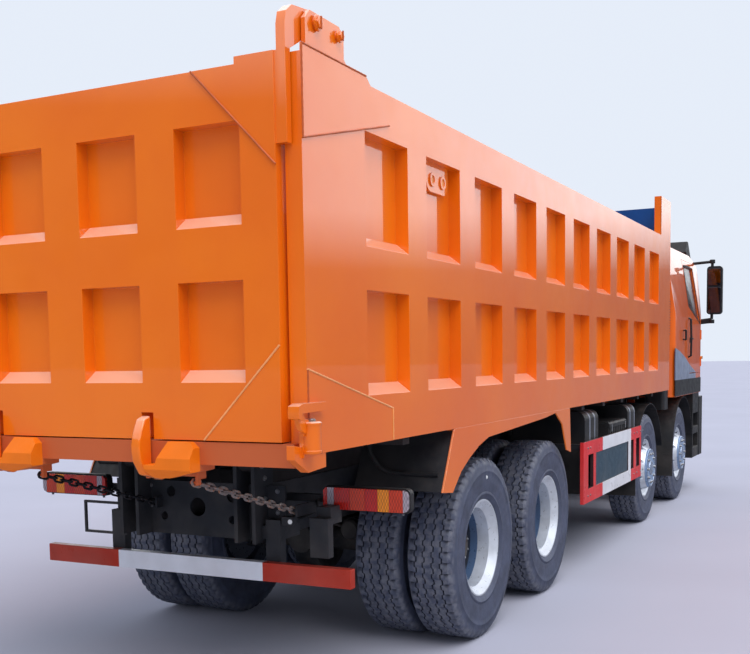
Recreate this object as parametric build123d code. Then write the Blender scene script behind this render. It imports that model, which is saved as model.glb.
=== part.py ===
"""Four-axle tipper truck with a high-sided steel load bed.

Millimetres. +X forward, +Y left, +Z up. The origin is on the ground, under the middle of the
overall box, so both ends are at plus and minus half the overall length.
"""
from build123d import *
from math import atan2, cos, degrees, hypot, pi, radians, sin
import os

# Lengths along the truck
FRONT_OVERHANG = 1500
STEER_SPREAD = 1800
MIDDLE_SPREAD = 3500
BOGIE_SPREAD = 1350
REAR_OVERHANG = 2400
OVERALL = FRONT_OVERHANG + STEER_SPREAD + MIDDLE_SPREAD + BOGIE_SPREAD + REAR_OVERHANG
AXLE_4 = REAR_OVERHANG - OVERALL / 2
AXLE_3 = AXLE_4 + BOGIE_SPREAD
AXLE_2 = AXLE_3 + MIDDLE_SPREAD
AXLE_1 = AXLE_2 + STEER_SPREAD
FRONT_END = OVERALL / 2
REAR_END = -OVERALL / 2

# Clearances
SEAT_GAP = 0.3
RUNNING_GAP = 0.5
SWING_GAP = 6
WELD = 2

# Tyres and wheels
TYRE_R = 561
TYRE_W = 300
TREAD_W = 244
RIM_R = 257
RIM_FLANGE_R = 302
RIM_W = 250
RIM_WALL = 10
RIM_LIP = 10
RIM_LIP_DEPTH = 42
TYRE_BEAD = 80
FRONT_TYRE_Y = 1020
OUTER_TYRE_Y = 1034
INNER_TYRE_Y = 690
DISC_OFFSET = 165
DISC_T = 14
DISC_HOLE_R = 28
DISC_HOLE_RING_R = 205
DISC_HOLES = 8
FRONT_HUB_R = 115
FRONT_COVER_R = 200
FRONT_COVER = 24
FRONT_HOLE_R = 18
FRONT_HOLE_RING_R = 226
REAR_HUB_R = 125
REAR_COVER_R = 105
REAR_HUB_COVER = 60
TYRE_SIDES = 30
TYRE_SHOULDER_R = 500
DRUM_R = 205
DRUM_LENGTH = 190
SPINDLE_R = 38
REAR_SPINDLE_R = 62
KINGPIN_Y = 850
KINGPIN_R = 25
KINGPIN_BOSS = 50
YOKE_T = 42
KNUCKLE_FACE = KINGPIN_Y + KINGPIN_BOSS + SWING_GAP + YOKE_T
SPINDLE_END = FRONT_TYRE_Y + 110
TWIN_FACE = (OUTER_TYRE_Y + INNER_TYRE_Y) / 2
REAR_HUB_IN = INNER_TYRE_Y - 75
REAR_HUB_OUT = TWIN_FACE + 100
REAR_SPINDLE_END = TWIN_FACE + 90

# Chassis
FRAME_TOP = 1080
RAIL_H = 300
RAIL_T = 12
RAIL_FLANGE = 90
FRAME_HALF = 430
FRAME_REAR = AXLE_4 - 1330
CROSS_W = 80
CROSS_H = 240
AXLE_Z = TYRE_R
RAIL_INNER = FRAME_HALF - RAIL_T
RAIL_BOTTOM = FRAME_TOP - RAIL_H

# Load bed
BED_REAR = AXLE_4 - 2261
BED_LENGTH = 7841
BED_FRONT = BED_REAR + BED_LENGTH
BED_HALF = 1250
BED_BOTTOM = 1347
BED_TOP = 2977
POCKET_DEPTH = 70
SHEET = 10
INNER_HALF = BED_HALF - POCKET_DEPTH - SHEET
TOP_RAIL = 210
MID_RAIL_LOW = 2055
MID_RAIL_TOP = 2253
LOW_RAIL_TOP = 1573
LEDGE_RISE = 52
BAYS = 10
BAY_PITCH = 689
BAY_WIDTH = 460
FIRST_BAY = 561
POST_TOP = 3374
POST_WIDTH = 522
HEAD_TOP = 3318
HEAD_DEPTH = 70
FLOOR_TOP = 1407
FLOOR_T = 10
BEARER_H = 100
BEARER_W = 80
LONGERON_W = 78
DOUBLER = 6

# Bed tipping hinge, on the frame's rear end
TIP_X = AXLE_4 - 1400
TIP_Z = 1215
TIP_PIN_R = 30
TIP_EAR_R = 60
TIP_EAR_T = 22
TIP_LIMIT = 45

# Tailgate
GATE_HALF = 1155
GATE_REAR = AXLE_4 - 2306
GATE_DEPTH = 90
GATE_SHEET = 20
GATE_BOTTOM = 1401
GATE_TOP = 2949
GATE_TOP_RAIL = 224
GATE_MID_TOP = 2304
GATE_MID_LOW = 2076
GATE_LOW_TOP = 1650
GATE_RIB = 210
GATE_RIB_Y = 540
GATE_STILE = 175
GATE_PIN_X = AXLE_4 - 2105
GATE_PIN_Z = 3124
GATE_PIN_R = 22
GATE_ARM_EYE = 58
GATE_ARM_T = 43
EAR_FRONT = AXLE_4 - 1857
EAR_TOP = 3168
EAR_T = 20
EAR_IN = GATE_HALF + SEAT_GAP + 10 + GATE_ARM_T + SWING_GAP

# Hooks that hold the tailgate shut
HOOK_Y = 455
HOOK_T = 50
HOOK_SLOT = 66
HOOK_CHEEK = 16
HOOK_BLOCK_W = 250
HOOK_BLOCK_LOW = 1234
HOOK_BLOCK_REAR = -5258
HOOK_TOP = 1507
HOOK_PIN_X = AXLE_4 - 2236
HOOK_PIN_Z = 1250
HOOK_BOSS = 38
HOOK_PIN_R = 18
SILL_LOW = 1295
SILL_HALF = 1210
CHAIN_LINKS = 13
CHAIN_OFFSET = -191
CHAIN_PIN_R = 8
CHAIN_DROP = 44
CHAIN_END_Z = 960
CHAIN_WIRE = 11
CHAIN_WIDE = 44

# Front hoist
HOIST_X = AXLE_4 + 5790
HOIST_PIN_Z = 1500
HOIST_BASE_Z = 930
HOIST_R = 115
HOIST_WALL = 14
HOIST_TUBE = 1650
HOIST_FOOT = 80
HOIST_STAGES = 4

# Rear end of the chassis
BAR_REAR = AXLE_4 - 1450
BAR_LOW = 586
BAR_H = 100
BAR_T = 50
BAR_HALF = 1005
BAR_POST_Y = 520
LAMP_REAR = AXLE_4 - 1250
REAR_PLATE_HALF = 565
REAR_PLATE_LOW = 905
REAR_PLATE_T = 16
CHAIN_END_X = AXLE_4 - 1385
LAMP_IN = 735
LAMP_OUT = 1240
LAMP_LOW = 950
LAMP_H = 128
LAMP_DEPTH = 62

# Side guards
GUARD_REAR = AXLE_4 + 2104
GUARD_LENGTH = 2136
GUARD_LOW = 545
GUARD_H = 500
GUARD_BAR = 112
GUARD_POSTS = ((0, 144), (311, 389), (1588, 1688), (1810, 1915), (2064, 2136))
GUARD_PANEL = (380, 1600)
GUARD_STAYS = (80, 1701)
GUARD_T = 30
GUARD_OUT = 1235

# Tanks and boxes behind the right guard: rear end, front end, low, top, rounding of the top edge
SIDE_CASES = ((-560, -130, 600, 1285, 80), (240, 880, 620, 1138, 14), (980, 1288, 600, 1265, 80))
CASE_IN = 560
CASE_OUT = 1188

# Axles and springs
SPRING_Y = (FRAME_HALF, FRAME_HALF + 78)
AXLE_NOSE = 300
AXLE_TAIL = 255
SHAFT_Z = AXLE_Z + 20
BEAM_W = 100
BEAM_H = 100
ARCH_R = 665
ARCH_T = 6

# Cab
CAB_REAR = AXLE_4 + 5970
CAB_FRONT = FRONT_END - 30
CAB_HALF = 1240
CAB_BOTTOM = 1250
CAB_TOP = 3080
CAB_SHOULDER = 2150
CAB_ROOF_HALF = 1130
CAB_WALL = 45
CORNER_R = 420
DOOR_REAR = AXLE_4 + 6880
DOOR_FRONT = AXLE_4 + 7730
DOOR_LOW = 1500
DOOR_TOP = 2880
DOOR_GAP = 6
HINGE_HEIGHTS = (1640, 1980)
HINGE_R = 12
HINGE_PIN_R = 6
HINGE_MID = 20
HINGE_HALF = 60
HINGE_X = DOOR_FRONT - DOOR_GAP / 2
HINGE_Y = CAB_HALF - 1
SILL_REAR_Z = 2330
SILL_FRONT_Z = 2130
WINDOW_TOP = 2800
SCREEN_LOW = 2035
SCREEN_HALF = (985, 930)
BACK_LOW = 2250
BACK_TOP = 2700
BACK_HALF = 420
GLASS_T = 6
BUMPER_REAR = FRONT_END - 370
BUMPER_LOW = 430
BUMPER_TOP = 1190
BUMPER_HALF = 1225
STEP_REAR = AXLE_1 + 680
MIRROR_X = AXLE_4 + 7870
MIRROR_OUT = 1480
MIRROR_IN = 1292
MIRROR_LOW = 2240
MIRROR_TOP = 2850


def block(x, y, z):
    """A box between two corners, each given as low and high."""
    size = Box(x[1] - x[0], y[1] - y[0], z[1] - z[0])
    return Pos((x[0] + x[1]) / 2, (y[0] + y[1]) / 2, (z[0] + z[1]) / 2) * size


def side_plate(points, y):
    """An outline in X and Z, from one Y to another."""
    face = make_face(Polyline(*[(px, pz) for px, pz in points], close=True).edges())
    wall = Plane(origin=(0, y[0], 0), x_dir=(1, 0, 0), z_dir=(0, -1, 0)) * face
    return extrude(wall, amount=y[1] - y[0], dir=(0, 1, 0))


def end_plate(points, x):
    """An outline in Y and Z, from one X to another."""
    face = make_face(Polyline(*points, close=True).edges())
    wall = Plane(origin=(x[0], 0, 0), x_dir=(0, 1, 0), z_dir=(1, 0, 0)) * face
    return extrude(wall, amount=x[1] - x[0], dir=(1, 0, 0))


def rod(start, end, radius):
    """A round bar between two points."""
    a = Vector(*start)
    b = Vector(*end)
    return Solid.make_cylinder(radius, (b - a).length, Plane(origin=a, z_dir=b - a))


def across(x, z, radius, y):
    """A round bar along Y."""
    return rod((x, y[0], z), (x, y[1], z), radius)


def turned(profile):
    """An outline in radius and Y, turned about the Y axis."""
    return revolve(make_face(Polyline(*profile, close=True).edges()), Axis.Y, 360)


def joined(pieces):
    """One solid out of touching or overlapping pieces."""
    whole = pieces[0]
    for piece in pieces[1:]:
        whole = whole + piece
    return whole.clean()


def other_side(piece):
    """The same piece on the truck's other side."""
    return mirror(piece, Plane.XZ)


def both_sides(piece):
    return [piece, other_side(piece)]


def save(name, pieces):
    """One node: its solids, side by side."""
    solids = []
    for piece in pieces:
        solids += piece.solids()
    export_step(Compound(label=name, children=solids), "parts/" + name + ".step")


# Wheels

def tyre():
    """A tyre on its own centre: flat-sided all round, one flat on the ground, bead between the flanges."""
    edge = [(RIM_R + SEAT_GAP, TYRE_BEAD), (TYRE_SHOULDER_R, TYRE_W / 2), (TYRE_R, TREAD_W / 2)]
    edge = [(r, -y) for r, y in edge] + [(r, y) for r, y in reversed(edge)]
    step = 2 * pi / TYRE_SIDES
    faces = []
    for side in range(TYRE_SIDES):
        rays = [(sin(turn), -cos(turn)) for turn in ((side - 0.5) * step, (side + 0.5) * step)]
        for near, far in zip(edge, edge[1:] + edge[:1]):
            corners = []
            for (r, y), (along, up) in ((near, rays[0]), (near, rays[1]), (far, rays[1]), (far, rays[0])):
                reach = r / cos(step / 2)
                corners.append((reach * along, y, reach * up))
            faces.append(Face(Wire.make_polygon(corners)))
    return Solid(Shell(faces))


def rim_barrel():
    """The rim's ring, its thin lips flaring out to both edges."""
    half = RIM_W / 2
    root = half - RIM_LIP_DEPTH
    inner = RIM_R - RIM_WALL
    lip = RIM_FLANGE_R - RIM_LIP
    return turned([
        (inner, 3 - root), (lip, -half), (RIM_FLANGE_R, -half), (RIM_R, -root),
        (RIM_R, root), (RIM_FLANGE_R, half), (lip, half), (inner, root - 3),
    ])


def holed(disc, y_mid, ring=DISC_HOLE_RING_R, radius=DISC_HOLE_R):
    """A wheel disc with its ring of round hand holes."""
    for k in range(DISC_HOLES):
        turn = 2 * pi * (k + 0.5) / DISC_HOLES
        disc = disc - across(ring * cos(turn), ring * sin(turn), radius, (y_mid - 80, y_mid + 80))
    return disc


def front_rim():
    """Front rim, disc bulging outwards, with hub and hub cover. Its own centre at the origin."""
    inner = RIM_R - RIM_WALL + WELD
    root = RIM_W / 2 - 55
    flat = FRONT_COVER_R - 6
    disc = turned([
        (0, DISC_OFFSET - DISC_T), (flat, DISC_OFFSET - DISC_T), (inner, root - DISC_T),
        (inner, root), (flat + 8, DISC_OFFSET), (0, DISC_OFFSET),
    ])
    disc = holed(disc, (root + DISC_OFFSET) / 2, FRONT_HOLE_RING_R, FRONT_HOLE_R)
    hub = across(0, 0, FRONT_HUB_R, (KNUCKLE_FACE + SWING_GAP - FRONT_TYRE_Y, DISC_OFFSET))
    face = DISC_OFFSET + FRONT_COVER
    cover = turned([
        (0, DISC_OFFSET - WELD), (FRONT_COVER_R, DISC_OFFSET - WELD), (FRONT_COVER_R, face - 12),
        (FRONT_COVER_R - 12, face), (0, face),
    ])
    drum = across(0, 0, DRUM_R, (KNUCKLE_FACE + SWING_GAP - FRONT_TYRE_Y, 30))
    bore = across(0, 0, SPINDLE_R + RUNNING_GAP, (-200, SPINDLE_END + 8 - FRONT_TYRE_Y))
    return joined([rim_barrel(), disc, hub, cover, drum]) - bore


def rear_rims():
    """Two rims back to back on one hub, for twin tyres. Placed in Y, centred in X and Z."""
    face = TWIN_FACE
    inner = RIM_R - RIM_WALL + WELD
    rims = []
    for tyre_y, way in ((OUTER_TYRE_Y, 1), (INNER_TYRE_Y, -1)):
        root = tyre_y - way * 70
        disc = turned([
            (REAR_HUB_R - WELD, face), (165, face), (inner, root - way * DISC_T),
            (inner, root), (165, face + way * DISC_T), (REAR_HUB_R - WELD, face + way * DISC_T),
        ])
        disc = holed(disc, (face + root) / 2)
        rims.append(Pos(0, tyre_y, 0) * rim_barrel() + disc)
    hub = across(0, 0, REAR_HUB_R, (REAR_HUB_IN, REAR_HUB_OUT))
    cover = across(0, 0, REAR_COVER_R, (REAR_HUB_OUT - WELD, REAR_HUB_OUT + REAR_HUB_COVER))
    drum = across(0, 0, DRUM_R, (REAR_HUB_IN, REAR_HUB_IN + DRUM_LENGTH))
    bore = across(0, 0, REAR_SPINDLE_R + RUNNING_GAP, (REAR_HUB_IN - 50, REAR_SPINDLE_END + 8))
    return joined(rims + [hub, cover, drum]) - bore


def knuckle():
    """Left steering knuckle: kingpin, yoke round the beam's end, spindle."""
    low = AXLE_Z - BEAM_H / 2 - 30
    high = AXLE_Z + BEAM_H / 2 + 30
    arm_t = 38
    back = KINGPIN_Y + KINGPIN_BOSS + SWING_GAP
    parts = [rod((0, KINGPIN_Y, low - arm_t), (0, KINGPIN_Y, high + arm_t), KINGPIN_R)]
    for z in (low - arm_t, high):
        parts.append(rod((0, KINGPIN_Y, z), (0, KINGPIN_Y, z + arm_t), KINGPIN_BOSS))
        parts.append(block((-45, 45), (KINGPIN_Y, KNUCKLE_FACE), (z, z + arm_t)))
    parts.append(block((-60, 60), (back, KNUCKLE_FACE), (low - arm_t, high + arm_t)))
    parts.append(rod((0, back + 5, AXLE_Z), (0, SPINDLE_END, AXLE_Z), SPINDLE_R))
    return joined(parts)


def make_wheels():
    for number, x in ((1, AXLE_1), (2, AXLE_2)):
        place = Pos(x, FRONT_TYRE_Y, AXLE_Z)
        for side, turn in (("left", False), ("right", True)):
            for name, piece in (
                ("tyre", place * tyre()),
                ("rim", place * front_rim()),
                ("knuckle", Pos(x, 0, 0) * knuckle()),
            ):
                save("%s_%d_%s" % (name, number, side), [other_side(piece) if turn else piece])
    for number, x in ((3, AXLE_3), (4, AXLE_4)):
        tyres = [Pos(x, y, AXLE_Z) * tyre() for y in (INNER_TYRE_Y, OUTER_TYRE_Y)]
        rims = Pos(x, 0, AXLE_Z) * rear_rims()
        save("tyres_%d_left" % number, tyres)
        save("tyres_%d_right" % number, [other_side(piece) for piece in tyres])
        save("rims_%d_left" % number, [rims])
        save("rims_%d_right" % number, [other_side(rims)])


# Chassis

def rail():
    """Left frame rail, a channel open to the inside."""
    x = (FRAME_REAR, FRONT_END - 60)
    web = block(x, (RAIL_INNER, FRAME_HALF), (RAIL_BOTTOM, FRAME_TOP))
    inner = FRAME_HALF - RAIL_FLANGE
    low = block(x, (inner, FRAME_HALF), (RAIL_BOTTOM, RAIL_BOTTOM + RAIL_T))
    top = block(x, (inner, FRAME_HALF), (FRAME_TOP - RAIL_T, FRAME_TOP))
    return joined([web, low, top])


def crossmember(x):
    """One box between the rails' webs, clear of their flanges."""
    mid = (RAIL_BOTTOM + FRAME_TOP) / 2
    z = (mid - CROSS_H / 2, mid + CROSS_H / 2)
    return block((x - CROSS_W / 2, x + CROSS_W / 2), (-RAIL_INNER, RAIL_INNER), z)


def tip_ear(y):
    """Chassis ear of the bed's hinge: down the rail's end, round at the top."""
    plate = block((TIP_X - TIP_EAR_R, TIP_X + TIP_EAR_R + 60), y, (RAIL_BOTTOM, TIP_Z))
    return plate + across(TIP_X, TIP_Z, TIP_EAR_R, y)


def tip_hinge():
    """Left pair of chassis ears, with the pin between them."""
    outer = tip_ear((FRAME_HALF, FRAME_HALF + TIP_EAR_T))
    inner_y = FRAME_HALF - RAIL_FLANGE
    inner = tip_ear((inner_y - TIP_EAR_T, inner_y))
    pin = across(TIP_X, TIP_Z, TIP_PIN_R, (inner_y - TIP_EAR_T - 8, FRAME_HALF + TIP_EAR_T + 8))
    return joined([outer, inner, pin])


def rear_plate():
    """Rear crossmember behind the rails: an upright plate with round holes, and the left chain's lug."""
    x = (FRAME_REAR - REAR_PLATE_T, FRAME_REAR)
    plate = block(x, (-REAR_PLATE_HALF, REAR_PLATE_HALF), (REAR_PLATE_LOW, FRAME_TOP))
    low = block(x, (-FRAME_HALF, FRAME_HALF), (RAIL_BOTTOM, FRAME_TOP))
    plate = plate + low
    for y, z, r in ((-230, 1010, 34), (-230, 880, 24), (0, 940, 52), (180, 1020, 30), (230, 880, 24)):
        plate = plate - rod((x[0] - 10, y, z), (x[1] + 10, y, z), r)
    return joined([plate] + chain_anchor(HOOK_Y + CHAIN_OFFSET, x[0] + WELD))


def chain_anchor(y, front):
    """Lug and cross pin that hold a chain's lower end."""
    plate = block((CHAIN_END_X - 16, front), (y - 26, y - 14), (CHAIN_END_Z - 30, CHAIN_END_Z + 30))
    pin = across(CHAIN_END_X, CHAIN_END_Z, CHAIN_PIN_R, (y - 20, y + 16))
    return [plate, pin]


def hoist_base():
    """Crossmember under the hoist, with ears and a pin that carry its foot."""
    top = HOIST_BASE_Z - 70
    beam = block((HOIST_X - 90, HOIST_X + 90), (-RAIL_INNER, RAIL_INNER), (top - 60, top))
    parts = [beam]
    for y in (-1, 1):
        low, high = sorted((y * 45, y * 67))
        parts.append(block((HOIST_X - 45, HOIST_X + 45), (low, high), (top - WELD, HOIST_BASE_Z)))
        parts.append(across(HOIST_X, HOIST_BASE_Z, 45, (low, high)))
    parts.append(across(HOIST_X, HOIST_BASE_Z, 25, (-72, 72)))
    return joined(parts)


def make_frame():
    save("frame_rails", both_sides(rail()))
    places = (AXLE_4 - 500, (AXLE_3 + AXLE_4) / 2, AXLE_3 + 560, AXLE_3 + 1750, AXLE_2 - 620, FRONT_END - 220)
    members = [crossmember(x) for x in places]
    members.append(joined([rear_plate()] + both_sides(tip_hinge())))
    members.append(hoist_base())
    save("crossmembers", members)


def front_beam(x):
    """Steering axle beam with a low middle and a bored boss at each end."""
    low = AXLE_Z - BEAM_H / 2
    high = AXLE_Z + BEAM_H / 2
    drop = 90
    seat = SPRING_Y[1] + 70
    boss_low = low - 30 + SWING_GAP
    boss_high = high + 30 - SWING_GAP
    end = KINGPIN_Y - KINGPIN_BOSS + 12
    beam = end_plate([
        (-end, low), (-seat - 60, low), (-seat + 60, low - drop), (seat - 60, low - drop),
        (seat + 60, low), (end, low), (end, high), (seat + 60, high), (seat - 60, high - drop),
        (-seat + 60, high - drop), (-seat - 60, high), (-end, high),
    ], (x - BEAM_W / 2 + 10, x + BEAM_W / 2 - 10))
    parts = [beam]
    for y in (-KINGPIN_Y, KINGPIN_Y):
        parts.append(rod((x, y, boss_low), (x, y, boss_high), KINGPIN_BOSS))
    whole = joined(parts)
    for y in (-KINGPIN_Y, KINGPIN_Y):
        whole = whole - rod((x, y, low - 200), (x, y, high + 200), KINGPIN_R + RUNNING_GAP)
    return whole


def drive_axle(x):
    """Drive axle housing with a round middle and a spindle at each end."""
    tube = across(x, AXLE_Z, 80, (-REAR_HUB_IN + SWING_GAP, REAR_HUB_IN - SWING_GAP))
    spindle = across(x, AXLE_Z, REAR_SPINDLE_R, (-REAR_SPINDLE_END, REAR_SPINDLE_END))
    bowl = across(x, AXLE_Z, 215, (-85, 85))
    nose = rod((x - AXLE_TAIL, 0, SHAFT_Z), (x + AXLE_NOSE, 0, SHAFT_Z), 92)
    return joined([tube, spindle, bowl, nose])


def front_spring(x):
    """Left leaf spring with its two hangers on the rail."""
    seat = AXLE_Z + BEAM_H / 2 - 90
    points = [
        (x - 720, seat + 290), (x - 330, seat + 150), (x - 90, seat + 96), (x - 90, seat),
        (x + 90, seat), (x + 90, seat + 96), (x + 330, seat + 150), (x + 720, seat + 290),
        (x + 720, seat + 330), (x + 300, seat + 205), (x, seat + 172), (x - 300, seat + 205),
        (x - 720, seat + 330),
    ]
    parts = [side_plate(points, SPRING_Y)]
    for way in (-1, 1):
        eye = x + way * 720
        parts.append(side_plate([
            (eye - 45, seat + 270), (eye + 45, seat + 270), (eye + 70, FRAME_TOP - 60),
            (eye - 70, FRAME_TOP - 60),
        ], SPRING_Y))
    return joined(parts)


def bogie_spring():
    """Left bogie spring: one thick pack on a trunnion, its ends on both drive axles."""
    mid = (AXLE_3 + AXLE_4) / 2
    seat = AXLE_Z + 80
    points = [
        (AXLE_4 - 70, seat), (AXLE_4 + 70, seat), (mid - 150, seat + 95), (mid - 120, seat - 60),
        (mid + 120, seat - 60), (mid + 150, seat + 95), (AXLE_3 - 70, seat), (AXLE_3 + 70, seat),
        (AXLE_3 + 60, seat + 45), (mid + 200, seat + 215), (mid - 200, seat + 215),
        (AXLE_4 - 60, seat + 45),
    ]
    pack = side_plate(points, (FRAME_HALF, FRAME_HALF + 95))
    hanger = side_plate([
        (mid - 130, seat + 150), (mid + 130, seat + 150), (mid + 210, FRAME_TOP - 30),
        (mid - 210, FRAME_TOP - 30),
    ], (FRAME_HALF, FRAME_HALF + 60))
    trunnion = across(mid, seat + 10, 62, (FRAME_HALF - 60, FRAME_HALF + 150))
    return joined([pack, hanger, trunnion])


def make_axles():
    save("axles", [front_beam(AXLE_1), front_beam(AXLE_2), drive_axle(AXLE_3), drive_axle(AXLE_4)])
    springs = []
    for piece in (front_spring(AXLE_1), front_spring(AXLE_2), bogie_spring()):
        springs += both_sides(piece)
    save("leaf_springs", springs)


def make_powertrain():
    """Engine as one block under the cab, gearbox behind it, shafts to the drive axles."""
    engine = block((AXLE_1 - 250, AXLE_1 + 1050), (-320, 320), (AXLE_Z + 130, CAB_BOTTOM - 40))
    box = block((AXLE_1 - 640, AXLE_1 - 250 + WELD), (-190, 190), (AXLE_Z + 40, RAIL_BOTTOM + 10))
    end = AXLE_3 + AXLE_NOSE + SEAT_GAP
    shaft = rod((AXLE_1 - 640 + WELD, 0, AXLE_Z + 130), (end + 70, 0, SHAFT_Z), 48)
    stub = rod((end, 0, SHAFT_Z), (end + 90, 0, SHAFT_Z), 66)
    parts = [engine, box, shaft, stub]
    for x in (AXLE_1 - 120, AXLE_1 + 860):
        for way in (-1, 1):
            y = sorted((way * (320 - WELD), way * RAIL_INNER))
            parts.append(block((x - 50, x + 50), y, (RAIL_BOTTOM + 60, RAIL_BOTTOM + 120)))
    link = rod((AXLE_3 - AXLE_TAIL - SEAT_GAP, 0, SHAFT_Z), (AXLE_4 + AXLE_NOSE + SEAT_GAP, 0, SHAFT_Z), 60)
    save("powertrain", [joined(parts), link])


def make_rear_end():
    """Underrun bar, its posts, the lamp brackets, the empty plate frame and the lamps."""
    bar = block((BAR_REAR, BAR_REAR + BAR_T), (-BAR_HALF, BAR_HALF), (BAR_LOW, BAR_LOW + BAR_H))
    save("underrun_bar", [bar])
    x = BAR_REAR + BAR_T
    plates = []
    for way in (-1, 1):
        low, high = sorted((way * (BAR_POST_Y - 45), way * (BAR_POST_Y + 45)))
        post = block((x, x + 54), (low, high), (BAR_LOW, REAR_PLATE_LOW))
        inner, outer = sorted((way * (FRAME_HALF + TIP_EAR_T), way * (BAR_POST_Y + 45)))
        foot = block((x, x + 200), (inner, outer), (RAIL_BOTTOM + 20, RAIL_BOTTOM + 90))
        rail_y = sorted((way * FRAME_HALF, way * (FRAME_HALF + TIP_EAR_T + 20)))
        shoe = block((TIP_X + TIP_EAR_R + 64, x + 260), rail_y, (RAIL_BOTTOM + 20, RAIL_BOTTOM + 90))
        arm_y = sorted((way * (FRAME_HALF + 10), way * (LAMP_OUT - 60)))
        back = LAMP_REAR + LAMP_DEPTH
        arm = block((back, back + 40), arm_y, (LAMP_LOW + 30, LAMP_LOW + 70))
        stay = block((x + 150, back + 20), sorted((way * FRAME_HALF, way * (FRAME_HALF + 42))),
                     (LAMP_LOW + 10, LAMP_LOW + 90))
        pieces = [post, foot, shoe, stay, arm]
        if way > 0:
            pieces.append(plate_frame())
        else:
            pieces += chain_anchor(-HOOK_Y + CHAIN_OFFSET, back + 20)
        plates.append(joined(pieces))
    save("rear_brackets", plates)
    lamp = end_plate([
        (LAMP_IN, LAMP_LOW + 14), (LAMP_IN + 14, LAMP_LOW), (LAMP_OUT - 14, LAMP_LOW),
        (LAMP_OUT, LAMP_LOW + 14), (LAMP_OUT, LAMP_LOW + LAMP_H - 14),
        (LAMP_OUT - 14, LAMP_LOW + LAMP_H), (LAMP_IN + 14, LAMP_LOW + LAMP_H),
        (LAMP_IN, LAMP_LOW + LAMP_H - 14),
    ], (LAMP_REAR, LAMP_REAR + LAMP_DEPTH))
    save("rear_lamps", both_sides(lamp))


def plate_frame():
    """Empty frame of thin bar that would hold a plate, left of the middle, hung from the post."""
    x = (BAR_REAR + BAR_T, BAR_REAR + BAR_T + 14)
    low, high = 762, 949
    near, far = BAR_POST_Y - 60, BAR_POST_Y + 250
    hole = block((x[0] - 5, x[1] + 5), (near + 14, far - 14), (low + 14, high - 14))
    return block(x, (near, far), (low, high)) - hole


def ring_link(length):
    """One flat chain link in X and Z, eight-sided, on its own centre."""
    half = length / 2
    wide = CHAIN_WIDE / 2
    cut = wide * 0.6
    outer = [
        (half, wide - cut), (half - cut, wide), (cut - half, wide), (-half, wide - cut),
        (-half, cut - wide), (cut - half, -wide), (half - cut, -wide), (half, cut - wide),
    ]
    shrink = (half - CHAIN_WIRE) / half
    narrow = (wide - CHAIN_WIRE) / wide
    hole = [(px * shrink, py * narrow) for px, py in outer]
    ring = make_face(Polyline(*outer, close=True).edges()) - make_face(Polyline(*hole, close=True).edges())
    return Pos(0, 0, -CHAIN_WIRE / 2) * extrude(ring, amount=CHAIN_WIRE)


def chain(y):
    """One taut lock chain, from the pin by the gate hook down to its anchor, as separate links."""
    start = Vector(HOOK_PIN_X, y, HOOK_PIN_Z - CHAIN_DROP)
    end = Vector(CHAIN_END_X, y, CHAIN_END_Z)
    way = (end - start).normalized()
    pitch = ((end - start).length + 2 * CHAIN_PIN_R + SEAT_GAP) / CHAIN_LINKS
    length = pitch + 2 * CHAIN_WIRE + SEAT_GAP
    first = length / 2 - CHAIN_WIRE - CHAIN_PIN_R - SEAT_GAP
    links = []
    for k in range(CHAIN_LINKS):
        link = ring_link(length)
        if k % 2:
            link = Rot(90, 0, 0) * link
        at = start + way * (first + k * pitch)
        links.append(Plane(origin=at, x_dir=way, z_dir=(0, 1, 0)) * link)
    return links


def guard():
    """Right side guard: two bars and two end posts round a gap, a blank panel in the middle."""
    x0, x1 = GUARD_REAR, GUARD_REAR + GUARD_LENGTH
    y = (-GUARD_OUT, -GUARD_OUT + GUARD_T)
    z0, z1 = GUARD_LOW, GUARD_LOW + GUARD_H
    panel_x = (x0 + GUARD_PANEL[0], x0 + GUARD_PANEL[1])
    parts = [
        block((x0, x1), y, (z0, z0 + GUARD_BAR)),
        block((x0, x1), y, (z1 - GUARD_BAR, z1)),
        block(panel_x, (y[0] + 8, y[1]), (z0 + GUARD_BAR - WELD, z1 - GUARD_BAR + WELD)),
    ]
    for rear, front in GUARD_POSTS:
        parts.append(block((x0 + rear, x0 + front), y, (z0, z1)))
    for at in GUARD_STAYS:
        stay_x = (x0 + at - 22, x0 + at + 22)
        parts.append(block(stay_x, (y[1] - WELD, -FRAME_HALF), (z1 - 70, z1 - 20)))
    return joined(parts)


def side_case(rear, front, low, top, rounding):
    """Right tank or box beside the rail, its outer top edge rounded, with its arm to the rail."""
    case = block((rear, front), (-CASE_OUT, -CASE_IN), (low, top))
    edges = case.edges().filter_by(Axis.X).group_by(Axis.Z)[-1]
    case = fillet(edges, rounding)
    arm_x = (rear + 60, rear + 170)
    return joined([case, block(arm_x, (-CASE_IN - WELD, -FRAME_HALF), (RAIL_BOTTOM + 20, RAIL_BOTTOM + 90))])


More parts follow.
